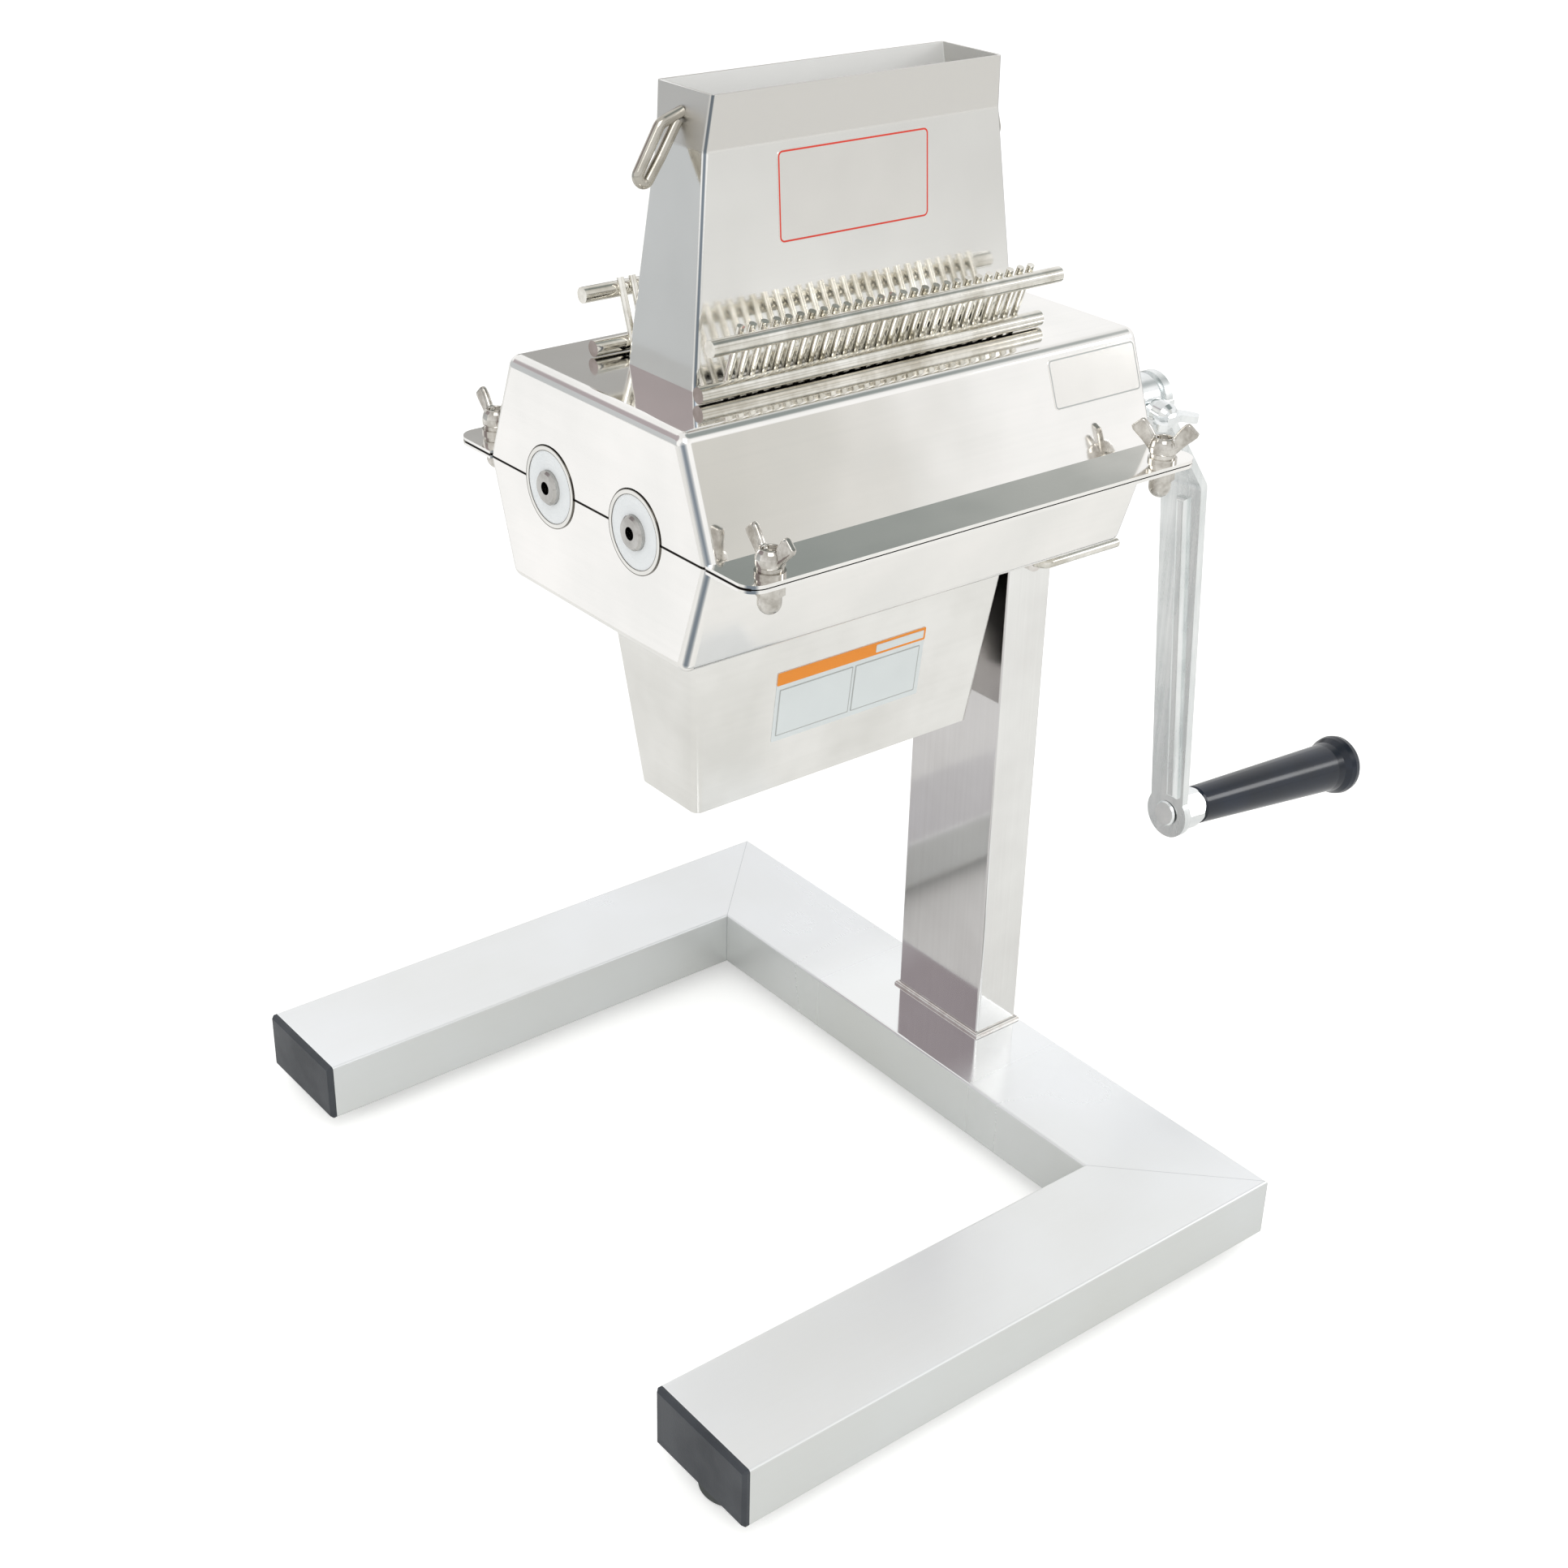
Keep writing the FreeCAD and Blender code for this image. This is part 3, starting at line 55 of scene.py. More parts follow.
def linear(code):
    """An sRGB hex colour as linear RGBA."""
    parts = [int(code[place:place + 2], 16) / 255 for place in (1, 3, 5)]
    return tuple(part / 12.92 if part <= 0.04045 else ((part + 0.055) / 1.055) ** 2.4
                 for part in parts) + (1,)


def add(tree, kind, sockets=None, **settings):
    """Adds a node with its settings; a socket given another node's output is linked to it."""
    made = tree.nodes.new("ShaderNode" + kind)
    for name, value in settings.items():
        setattr(made, name, value)
    for name, value in (sockets or {}).items():
        if isinstance(value, bpy.types.NodeSocket):
            tree.links.new(value, made.inputs[name])
        else:
            made.inputs[name].default_value = value
    return made


def new_material(name):
    material = bpy.data.materials.new(name)
    material.use_nodes = True
    material.node_tree.nodes.clear()
    return material, material.node_tree


def close_material(tree, shader):
    output = add(tree, "OutputMaterial")
    tree.links.new(shader.outputs[0], output.inputs["Surface"])


def finish(material, *names):
    """Gives the CAD nodes this finish."""
    for name in names:
        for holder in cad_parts[name].material_slots:
            holder.material = material


def stretched(tree, per_mm):
    """Object coordinates in millimetres, scaled along each axis."""
    place = add(tree, "TexCoord").outputs["Object"]
    scale = tuple(1000 * share for share in per_mm)
    return add(tree, "Mapping", {"Vector": place, "Scale": scale}).outputs["Vector"]


def split(tree, kind):
    """X, Y and Z of the face's Normal, or of its place in the Object in metres."""
    return add(tree, "SeparateXYZ", {"Vector": add(tree, "TexCoord").outputs[kind]}).outputs


# Nearly all of a noise texture's values lie between these two.
NOISE_LOW, NOISE_HIGH = 0.35, 0.65

# Satin belt ground 304 tube: pale and even, and hardly a mirror, as its fine scratches
# scatter most of the light: so it is drawn only partly metallic. The belt's 0.1 mm lines
# are drawn ten times as coarse, as they would not show otherwise. On each side of the post
# it was buffed to a mirror after welding. The dressed mitre welds leave a hairline.
SATIN_METALLIC = 0.38
SATIN_SMOOTH, SATIN_ROUGH, BUFFED_ROUGH = 0.27, 0.34, 0.07
BUFFED_FROM, BUFFED_TO = 0.026, 0.075
TUBE_CLOUD_MM = 120
TUBE_LINES_SHARE = 0.06
TUBE_DARK, TUBE_LIGHT = "#F2F3F2", "#F8FAFC"
MITRE_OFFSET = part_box("base_crossbar")[1].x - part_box("base_crossbar")[1].y
SEAM_HALF = 0.00035
SEAM_SHADE, SEAM_DEPTH = "#8E9296", 0.45
# The upright sides get a painted shade, a little darker than the top.
TUBE_SIDE_PAINTED_SHADE = "#E4E5E3"


def tube_steel(name, grain):
    material, tree = new_material(name)
    spot = split(tree, "Object")
    sides = add(tree, "Math", {0: spot["Y"]}, operation="ABSOLUTE").outputs[0]
    away = add(tree, "MapRange", {"Value": sides, "From Min": BUFFED_FROM, "From Max": BUFFED_TO},
               interpolation_type="SMOOTHSTEP").outputs["Result"]
    cloud = add(tree, "TexNoise", {"Vector": stretched(tree, (1 / TUBE_CLOUD_MM,) * 3),
                                   "Scale": 1.0, "Detail": 3.0})
    lines = add(tree, "TexNoise", {"Vector": stretched(tree, grain), "Scale": 1.0, "Detail": 2.0})
    both = add(tree, "Mix", {"Factor": TUBE_LINES_SHARE, "A": cloud.outputs["Fac"],
                             "B": lines.outputs["Fac"]}, data_type="FLOAT")
    spread = add(tree, "MapRange", {"Value": both.outputs["Result"], "From Min": NOISE_LOW,
                                    "From Max": NOISE_HIGH}).outputs["Result"]
    tube = add(tree, "Mix", {"Factor": spread, "A": linear(TUBE_DARK), "B": linear(TUBE_LIGHT)},
               data_type="RGBA")
    # Painted shade on the upright sides.
    upright = add(tree, "Math", {0: split(tree, "Normal")["Z"], 1: 0.5}, operation="LESS_THAN")
    tube = add(tree, "Mix", {"Factor": upright.outputs[0], "A": tube.outputs["Result"],
                             "B": linear(TUBE_SIDE_PAINTED_SHADE)}, data_type="RGBA", blend_type="MULTIPLY")
    across = add(tree, "Math", {0: spot["X"], 1: sides}, operation="SUBTRACT")
    off = add(tree, "Math", {0: across.outputs[0], 1: MITRE_OFFSET}, operation="SUBTRACT")
    distance = add(tree, "Math", {0: off.outputs[0]}, operation="ABSOLUTE")
    seam = add(tree, "MapRange", {"Value": distance.outputs[0], "From Max": SEAM_HALF,
                                  "To Min": SEAM_DEPTH, "To Max": 0.0})
    tint = add(tree, "Mix", {"Factor": seam.outputs["Result"], "A": tube.outputs["Result"],
                             "B": linear(SEAM_SHADE)}, data_type="RGBA")
    satin = add(tree, "MapRange", {"Value": spread, "To Min": SATIN_ROUGH, "To Max": SATIN_SMOOTH})
    rough = add(tree, "Mix", {"Factor": away, "A": BUFFED_ROUGH, "B": satin.outputs["Result"]},
                data_type="FLOAT")
    metal = add(tree, "MapRange", {"Value": away, "To Min": 1.0, "To Max": SATIN_METALLIC})
    shader = add(tree, "BsdfPrincipled", {
        "Base Color": tint.outputs["Result"], "Metallic": metal.outputs["Result"],
        "Roughness": rough.outputs["Result"]})
    close_material(tree, shader)
    return material


finish(tube_steel("satin_tube_ground_along_x", (0.012, 0.9, 0.9)),
       "base_arm_front", "base_arm_rear")
finish(tube_steel("satin_tube_ground_along_y", (0.9, 0.012, 0.9)), "base_crossbar")


# ---------------------------------------------------------------- post
# Stainless tube on end, 50 x 22 mm, buffed bright and welded all round at its foot. The
# bead is polished with the tube and keeps a slight ripple from the welding.

# Tube and sheet are not quite flat: their waves are about this long.
WAVE_MM = 45


def looks_along_x(tree):
    """One on the faces that look along X, nothing on the others."""
    size = add(tree, "Math", {0: split(tree, "Normal")["X"]}, operation="ABSOLUTE")
    return add(tree, "Math", {0: size.outputs[0], 1: 0.7}, operation="GREATER_THAN").outputs[0]


def waved(tree, height):
    """The normal of a sheet or tube that waves slowly, by this height in metres."""
    slow = add(tree, "TexNoise", {"Vector": stretched(tree, (1 / WAVE_MM,) * 3), "Scale": 1.0,
                                  "Detail": 1.0})
    return add(tree, "Bump", {"Height": slow.outputs["Fac"], "Strength": 1.0,
                              "Distance": height}).outputs["Normal"]


def steel(name, light, dark, smooth, rough, grain, patch_mm, end_grain=None, end_shade="#FFFFFF",
          wave=0.0, lines_share=0.2, marks=None):
    """Bare or plated metal: grain lines, cloudy patches of polish, and a slow wave.

    light and dark are the two colours it drifts between, smooth and rough the roughness of
    its patches, grain the lines per millimetre along each axis, patch_mm the size of the
    patches, end_grain and end_shade the lines and a painted shade on faces that look along X.
    marks is a function that draws on the tint what only this piece has, such as painted shade."""
    material, tree = new_material(name)
    cloud = add(tree, "TexNoise", {"Vector": stretched(tree, (1 / patch_mm,) * 3), "Scale": 1.0,
                                   "Detail": 3.0, "Roughness": 0.55})
    place = stretched(tree, grain)
    if end_grain:
        on_end = looks_along_x(tree)
        place = add(tree, "Mix", {"Factor": on_end, "A": place, "B": stretched(tree, end_grain)},
                    data_type="VECTOR").outputs["Result"]
    lines = add(tree, "TexNoise", {"Vector": place, "Scale": 1.0, "Detail": 2.0})
    both = add(tree, "Mix", {"Factor": lines_share, "A": cloud.outputs["Fac"],
                             "B": lines.outputs["Fac"]}, data_type="FLOAT")
    spread = add(tree, "MapRange", {"Value": both.outputs["Result"], "From Min": NOISE_LOW,
                                    "From Max": NOISE_HIGH}).outputs["Result"]
    tint = add(tree, "Mix", {"Factor": spread, "A": linear(dark), "B": linear(light)},
               data_type="RGBA").outputs["Result"]
    # Painted shade on the faces that look along X.
    if end_grain:
        tint = add(tree, "Mix", {"Factor": on_end, "A": tint, "B": linear(end_shade)},
                   data_type="RGBA", blend_type="MULTIPLY").outputs["Result"]
    if marks:
        tint = marks(tree, tint)
    polish = add(tree, "MapRange", {"Value": spread, "To Min": rough, "To Max": smooth})
    sockets = {"Base Color": tint, "Metallic": 1.0, "Roughness": polish.outputs["Result"]}
    if wave:
        sockets["Normal"] = waved(tree, wave)
    close_material(tree, add(tree, "BsdfPrincipled", sockets))
    return material


# Buffed tube: bright and cool. Its wide faces get a painted shade, a little darker than the narrow
# ones.
post_steel = steel("polished_stainless_post", "#F3F3F1", "#E6E5E3", 0.06, 0.11,
                   grain=(0.8, 0.8, 0.012), patch_mm=50,
                   end_grain=(0.8, 0.8, 0.012), end_shade="#E6E4E6", wave=0.00006)
finish(post_steel, "post_tube", "head_spigot")
# Polished weld bead: the same metal, duller, warmer and finely rippled.
bead_steel = steel("polished_weld_bead", "#EDEBE8", "#D5CFCA", 0.12, 0.24,
                   grain=(0.5, 0.5, 0.5), patch_mm=6, wave=0.00008)
finish(bead_steel, "post_weld", "lock_boss")


# ---------------------------------------------------------------- end caps
# Black polyethylene caps, injection moulded with a fine matt spark texture, pressed into
# the two open tube ends by hand.

CAP_GRAIN_MM = 0.8
RUBBED_PATCH_MM = 22
RUBBED_FROM, RUBBED_TO = 0.38, 0.66
# A rubbed patch is smoother than the rest by this factor.
RUBBED_GLOSS = 0.8


def moulded(name, light, dark, rough, grain_mm, depth):
    """Moulded plastic or rubber with a fine grained skin and slight rubbed patches."""
    material, tree = new_material(name)
    skin = add(tree, "TexNoise", {"Vector": stretched(tree, (1 / grain_mm,) * 3), "Scale": 1.0,
                                  "Detail": 4.0})
    rubbed = add(tree, "TexNoise", {"Vector": stretched(tree, (1 / RUBBED_PATCH_MM,) * 3),
                                    "Scale": 1.0, "Detail": 3.0})
    spread = add(tree, "MapRange", {"Value": rubbed.outputs["Fac"], "From Min": RUBBED_FROM,
                                    "From Max": RUBBED_TO}).outputs["Result"]
    tint = add(tree, "Mix", {"Factor": spread, "A": linear(dark), "B": linear(light)},
               data_type="RGBA")
    gloss = add(tree, "MapRange", {"Value": spread, "To Min": rough,
                                   "To Max": rough * RUBBED_GLOSS})
    bump = add(tree, "Bump", {"Height": skin.outputs["Fac"], "Strength": 1.0, "Distance": depth})
    shader = add(tree, "BsdfPrincipled", {
        "Base Color": tint.outputs["Result"], "Roughness": gloss.outputs["Result"], "IOR": 1.5,
        "Normal": bump.outputs["Normal"]})
    close_material(tree, shader)
    return material


# Matt black polyethylene: a soft dark grey that shows its edges by light, not by shine.
finish(moulded("matt_black_polyethylene", "#3C4046", "#2F3339", 0.52, CAP_GRAIN_MM, 0.00006),
       "end_cap_front", "end_cap_rear")


# ---------------------------------------------------------------- feet
# Black rubber feet, turned and slightly dusty, each held by a nickel plated pan head
# screw that sits deep in the foot.

finish(moulded("dusty_black_rubber", "#5A5E5C", "#414543", 0.7, 0.6, 0.00008),
       "foot_front_left", "foot_rear_left", "foot_front_right", "foot_rear_right")
# Nickel plated steel: warm and bright, with small cloudy patches.
nickel = steel("bright_nickel_plating", "#DEDBD5", "#A7A29A", 0.05, 0.11,
               grain=(0.9, 0.9, 0.9), patch_mm=6)
finish(nickel, "foot_screws")


# ---------------------------------------------------------------- lock screw
# A stainless rod, threaded at one end and bent by hand into a lever, that clamps the
# head's spigot in the post.

# Electropolished rod: bright and slightly warm, with a fine cloudy skin.
rod_steel = steel("electropolished_rod", "#F3F1EB", "#CBC7BC", 0.05, 0.14,
                  grain=(0.5, 0.5, 0.5), patch_mm=12, wave=0.00001)
finish(rod_steel, "lock_screw")


# ---------------------------------------------------------------- housings
# Two folded 1.2 mm stainless troughs with welded ends, buffed to a mirror outside. The
# sheet waves a little, so what it mirrors is bent and soft.

# The troughs meet at this height. On their ends the gap is drawn as a thin line of painted shade.
PARTING_Z = 0.3008
GAP_HALF, GAP_EDGE = 0.00035, 0.00055
GAP_PAINTED_SHADE = "#2E2A26"
# The upright folds get a painted shade: a narrow blue grey line.
# On an upright fold the face looks between X and Y, so the product of the two is large.
FOLD_FROM, FOLD_TO = 0.37, 0.47
FOLD_PAINTED_SHADE = "#838D98"


def folds_shaded(tree, tint):
    """The tint with a painted shade, a narrow blue grey line, along the upright folds."""
    facing = split(tree, "Normal")
    both = add(tree, "Math", {0: facing["X"], 1: facing["Y"]}, operation="MULTIPLY")
    size = add(tree, "Math", {0: both.outputs[0]}, operation="ABSOLUTE")
    fold = add(tree, "MapRange", {"Value": size.outputs[0], "From Min": FOLD_FROM,
                                  "From Max": FOLD_TO})
    return add(tree, "Mix", {"Factor": fold.outputs["Result"], "A": tint, "B": linear(FOLD_PAINTED_SHADE)},
               data_type="RGBA", blend_type="MULTIPLY").outputs["Result"]


def trough_painted_shade(tree, tint):
    """Painted shade along the folds, and on the ends in the mouth of the gap between the troughs.
    """
    # Painted shade in the gap's mouth, on the faces that look along X.
    level = add(tree, "Math", {0: split(tree, "Object")["Z"], 1: PARTING_Z}, operation="SUBTRACT")
    away = add(tree, "Math", {0: level.outputs[0]}, operation="ABSOLUTE")
    mouth = add(tree, "MapRange", {"Value": away.outputs[0], "From Min": GAP_HALF,
                                   "From Max": GAP_EDGE, "To Min": 1.0, "To Max": 0.0})
    gap = add(tree, "Math", {0: mouth.outputs["Result"], 1: looks_along_x(tree)},
              operation="MULTIPLY")
    return add(tree, "Mix", {"Factor": gap.outputs[0], "A": folds_shaded(tree, tint),
                             "B": linear(GAP_PAINTED_SHADE)}, data_type="RGBA").outputs["Result"]


# Buffed stainless sheet: near white, mirror bright, with slow clouds of duller polish.
shell_steel = steel("buffed_stainless_sheet", "#FAF8F5", "#F0EFEC", 0.045, 0.11,
                    grain=(0.01, 0.5, 0.5), patch_mm=55, end_grain=(0.5, 0.01, 0.5),
                    wave=0.00035, lines_share=0.12, marks=trough_painted_shade)
finish(shell_steel, "upper_housing", "lower_housing")


# ---------------------------------------------------------------- hopper and chute
# Two thin sheet ducts with four walls each. The hopper's body is buffed like the housings;
# the flared band above its neck is left brushed, a flat grey, and the inside is left
# pickled and matt, so it scatters more light than it mirrors.

HOPPER_NECK_Z = 0.416
NECK_BLEND = 0.0006
HOPPER_MIDDLE_X = (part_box("hopper")[0].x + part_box("hopper")[1].x) / 2
HOPPER_DARK, HOPPER_LIGHT = "#EBEAE7", "#F6F5F2"
HOPPER_RIM = "#D7D5D1"
# Inside, the end walls get a painted shade, darker than the side walls.
HOPPER_INSIDE, HOPPER_INNER_END_SHADE = "#F6F6F4", "#CFCECA"
BUFFED_SMOOTH, BUFFED_DULL, BRUSHED_ROUGH, PICKLED_ROUGH = 0.07, 0.15, 0.38, 0.45
PICKLED_METALLIC = 0.3
HOPPER_CLOUD_MM = 60
HOPPER_WAVE = 0.0003
# The brush's scratches, in lines per millimetre along each axis, and their depth.
BRUSH_LINES, BRUSH_DEPTH = (0.02, 1.6, 1.6), 0.000008


def hopper_steel():
    material, tree = new_material("buffed_stainless_with_brushed_rim")
    place = add(tree, "TexCoord").outputs["Object"]
    height = add(tree, "SeparateXYZ", {"Vector": place}).outputs["Z"]
    rim = add(tree, "MapRange", {"Value": height, "From Min": HOPPER_NECK_Z - NECK_BLEND,
                                 "From Max": HOPPER_NECK_Z + NECK_BLEND}).outputs["Result"]
    # A wall's inner side looks towards the hopper's middle.
    out = add(tree, "VectorMath", {0: place, 1: (-HOPPER_MIDDLE_X, 0, 0)}, operation="ADD")
    level = add(tree, "VectorMath", {0: out.outputs[0], 1: (1, 1, 0)}, operation="MULTIPLY")
    normal = add(tree, "TexCoord").outputs["Normal"]
    along = add(tree, "VectorMath", {0: level.outputs[0], 1: normal}, operation="DOT_PRODUCT")
    inside = add(tree, "Math", {0: along.outputs["Value"], 1: 0.0},
                 operation="LESS_THAN").outputs[0]
    cloud = add(tree, "TexNoise", {"Vector": stretched(tree, (1 / HOPPER_CLOUD_MM,) * 3),
                                   "Scale": 1.0, "Detail": 3.0})
    spread = add(tree, "MapRange", {"Value": cloud.outputs["Fac"], "From Min": NOISE_LOW,
                                    "From Max": NOISE_HIGH}).outputs["Result"]
    body = add(tree, "Mix", {"Factor": spread, "A": linear(HOPPER_DARK), "B": linear(HOPPER_LIGHT)},
               data_type="RGBA")
    band = add(tree, "Mix", {"Factor": rim, "A": body.outputs["Result"], "B": linear(HOPPER_RIM)},
               data_type="RGBA")
    # Painted shade: the inside's end walls darker, and a line along the outer folds.
    matt = add(tree, "Mix", {"Factor": looks_along_x(tree), "A": linear(HOPPER_INSIDE),
                             "B": linear(HOPPER_INNER_END_SHADE)}, data_type="RGBA")
    tint = add(tree, "Mix", {"Factor": inside, "A": folds_shaded(tree, band.outputs["Result"]),
                             "B": matt.outputs["Result"]}, data_type="RGBA")
    polish = add(tree, "MapRange", {"Value": spread, "To Min": BUFFED_DULL,
                                    "To Max": BUFFED_SMOOTH})
    brushed = add(tree, "Mix", {"Factor": rim, "A": polish.outputs["Result"], "B": BRUSHED_ROUGH},
                  data_type="FLOAT")
    rough = add(tree, "Mix", {"Factor": inside, "A": brushed.outputs["Result"],
                              "B": PICKLED_ROUGH}, data_type="FLOAT")
    metal = add(tree, "MapRange", {"Value": inside, "To Min": 1.0, "To Max": PICKLED_METALLIC})
    brush = add(tree, "TexNoise", {"Vector": stretched(tree, BRUSH_LINES), "Scale": 1.0,
                                   "Detail": 2.0})
    fine = add(tree, "Bump", {"Height": brush.outputs["Fac"], "Strength": 1.0,
                              "Distance": BRUSH_DEPTH, "Normal": waved(tree, HOPPER_WAVE)})
    shader = add(tree, "BsdfPrincipled", {
        "Base Color": tint.outputs["Result"], "Metallic": metal.outputs["Result"],
        "Roughness": rough.outputs["Result"], "Normal": fine.outputs["Normal"]})
    close_material(tree, shader)
    return material


finish(hopper_steel(), "hopper")
# Belt polished chute: duller than the housings, with a cloudy bloom.
chute_steel = steel("belt_polished_stainless_sheet", "#F2F1EE", "#E4E3DF", 0.09, 0.22,
                    grain=(0.01, 0.5, 0.5), patch_mm=40, end_grain=(0.5, 0.01, 0.5),
                    wave=0.0003, lines_share=0.12)
finish(chute_steel, "discharge_chute")
# Drawn rod, only tumbled: an olive grey, darker than the sheet it is welded to.
loop_steel = steel("tumbled_drawn_rod", "#C2BEB5", "#A39E93", 0.12, 0.20,
                   grain=(0.1, 0.1, 0.1), patch_mm=20)
finish(loop_steel, "hopper_loop_left", "hopper_loop_right")


# ---------------------------------------------------------------- blank labels
# Printed vinyl stickers, 0.15 mm thick with rounded corners, rolled flat on the sheet.
# They carry thin frames and a colour band, and are otherwise bare.

STICKER_THICK = 0.00015
PEEL_PER_MM, PEEL_DEPTH = 1.2, 0.000012
INK_CLOUD_PER_MM = 0.05


def vinyl(name, code, rough, metallic=0.0):
    """Calendered vinyl or its ink: a soft even colour under a slight orange peel."""
    material, tree = new_material(name)
    peel = add(tree, "TexNoise", {"Vector": stretched(tree, (PEEL_PER_MM,) * 3), "Scale": 1.0,
                                  "Detail": 2.0})
    cloud = add(tree, "TexNoise", {"Vector": stretched(tree, (INK_CLOUD_PER_MM,) * 3),
                                   "Scale": 1.0, "Detail": 2.0})
    base = linear(code)[:3]
    dark = tuple(part * 0.94 for part in base) + (1,)
    light = tuple(min(1, part * 1.04) for part in base) + (1,)
    tint = add(tree, "Mix", {"Factor": cloud.outputs["Fac"], "A": dark, "B": light},
               data_type="RGBA")
    bump = add(tree, "Bump", {"Height": peel.outputs["Fac"], "Strength": 1.0,
                              "Distance": PEEL_DEPTH})
    shader = add(tree, "BsdfPrincipled", {
        "Base Color": tint.outputs["Result"], "Metallic": metallic, "Roughness": rough,
        "IOR": 1.5, "Normal": bump.outputs["Normal"]})
    close_material(tree, shader)
    return material


# The first two labels are of metallised film, which looks like the sheet under it.
silver_film = vinyl("silver_metallised_film", "#EFEDE9", 0.12, metallic=1.0)
white_film = vinyl("pale_vinyl_film", "#E3E9E9", 0.35)
red_ink = vinyl("red_screen_ink", "#DE3F2C", 0.4)
grey_ink = vinyl("grey_screen_ink", "#B4B7B5", 0.4)
orange_ink = vinyl("orange_screen_ink", "#F7941E", 0.38)


def rounded_outline(wide, high, radius, steps=6):
    """Points round a rectangle with rounded corners, centred on zero."""
    points = []
    for number, (side, level) in enumerate(((1, 1), (-1, 1), (-1, -1), (1, -1))):
        for step in range(steps + 1):
            angle = math.pi / 2 * (number + step / steps)
            points.append((side * (wide / 2 - radius) + radius * math.cos(angle),
                           level * (high / 2 - radius) + radius * math.sin(angle)))
    return points


def skinned(mesh, low, top):
    """The faces between two rings of as many points."""
    return [mesh.faces.new((low[step], low[after], top[after], top[step]))
            for step, after in enumerate([*range(1, len(low)), 0])]


def sticker(name, body, corner, across, upward, wide, high, radius, bands, lift=0.0):
    """A thin plate from its lower left corner along two unit directions. Each band is the
    inset at which it starts, in metres, and its material."""
    outward = across.cross(upward).normalized()
    middle = corner + across * wide / 2 + upward * high / 2 + outward * lift
    mesh = bmesh.new()
    rings = []
    for inset, height in [(0.0, 0.0)] + [(band[0], STICKER_THICK) for band in bands]:
        outline = rounded_outline(wide - 2 * inset, high - 2 * inset, max(radius - inset, 0.0002))
        rings.append([mesh.verts.new(middle + across * x + upward * y + outward * height)
                      for x, y in outline])
    mesh.faces.new(rings[0][::-1])
    for level, (low, top) in enumerate(zip(rings, rings[1:])):
        for face in skinned(mesh, low, top):
            face.material_index = max(level - 1, 0)
    cover = mesh.faces.new(rings[-1])
    cover.material_index = len(bands) - 1
    data = bpy.data.meshes.new(name)
    mesh.to_mesh(data)
    mesh.free()
    for inset, material in bands:
        data.materials.append(material)
    piece = bpy.data.objects.new(name, data)
    bpy.context.scene.collection.objects.link(piece)
    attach(piece, body)


# Each wall that carries a label, as two (y, z) points on its outer side.
HOPPER_WALL = ((-0.0193, 0.341), (-0.0136, 0.416))
CHUTE_WALL = ((-0.0171, 0.1822), (-0.0264, 0.2591))
SHELL_WALL = ((-0.065, 0.301), (-0.050, 0.341))


def wall_point(z, low, high):
    """The (y, z) point at height z on the straight line between two others."""
    share = (z - low[1]) / (high[1] - low[1])
    return low[0] + share * (high[0] - low[0]), z


def label(name, body, wall, left, right, low_z, high_z, radius, bands, lift=0.0):
    """A sticker on a wall, from left to right of the stand's middle and between two heights."""
    low, high = wall_point(low_z, *wall), wall_point(high_z, *wall)
    corner = Vector((STAND_MIDDLE_X + left, *low))
    rise = Vector((0, high[0] - low[0], high[1] - low[1]))
    sticker(name, body, corner, Vector((1, 0, 0)), rise.normalized(), right - left,
            rise.length, radius, bands, lift)


label("hopper_label", "upper_housing", HOPPER_WALL,
      -0.0043, 0.0605, 0.3835, 0.4134, 0.0022,
      ((0.0, silver_film), (0.0003, red_ink), (0.0009, silver_film)))
label("shell_label", "upper_housing", SHELL_WALL,
      0.0872, 0.1298, 0.3203, 0.3370, 0.0018,
      ((0.0, silver_film), (0.0003, grey_ink), (0.0008, silver_film)))
label("chute_label", "head", CHUTE_WALL,
      -0.0066, 0.0632, 0.2030, 0.2318, 0.0005, ((0.0, white_film),))
label("chute_label_band", "head", CHUTE_WALL,
      -0.0066, 0.0632, 0.2266, 0.2318, 0.0005, ((0.0, orange_ink),), lift=STICKER_THICK)
label("chute_label_window", "head", CHUTE_WALL,
      0.0392, 0.0622, 0.2276, 0.2308, 0.0003, ((0.0, white_film),), lift=2 * STICKER_THICK)
PANEL_BANDS = ((0.0, grey_ink), (0.0004, white_film))
label("chute_label_panel", "head", CHUTE_WALL,
      -0.0050, 0.0290, 0.2052, 0.2246, 0.0003, PANEL_BANDS, lift=STICKER_THICK)
label("chute_label_second_panel", "head", CHUTE_WALL,
      0.0302, 0.0612, 0.2052, 0.2246, 0.0003, PANEL_BANDS, lift=STICKER_THICK)


# ---------------------------------------------------------------- bearings
# Turned stainless collars sit flush in the housings' round cut-outs, each with a white
# nylon bush, faced on the lathe, that carries the shaft.

BEARINGS = [f"{side}_{end}" for side in ("front", "rear") for end in ("left", "right")]
ROLLER_Y = 0.025
# The troughs part on the rollers' axes.
ROLLER_Z = PARTING_Z
COLLAR_RADIUS = 0.0145
BUSH_RADIUS = 0.0127
# The lathe's feed, drawn coarse enough to show, and how deep its rings are in metal and nylon.
TURNING_MM = 0.9
COLLAR_RING_DEPTH, BUSH_RING_DEPTH = 0.000004, 0.000008
# The seams at the collar's rims get a painted shadow.
COLLAR_DARK, COLLAR_LIGHT, COLLAR_SEAM_SHADOW = "#DDDCD7", "#F4F3EF", "#6E6B65"
NYLON_DARK, NYLON_LIGHT = "#E9EDEF", "#F4F7F8"


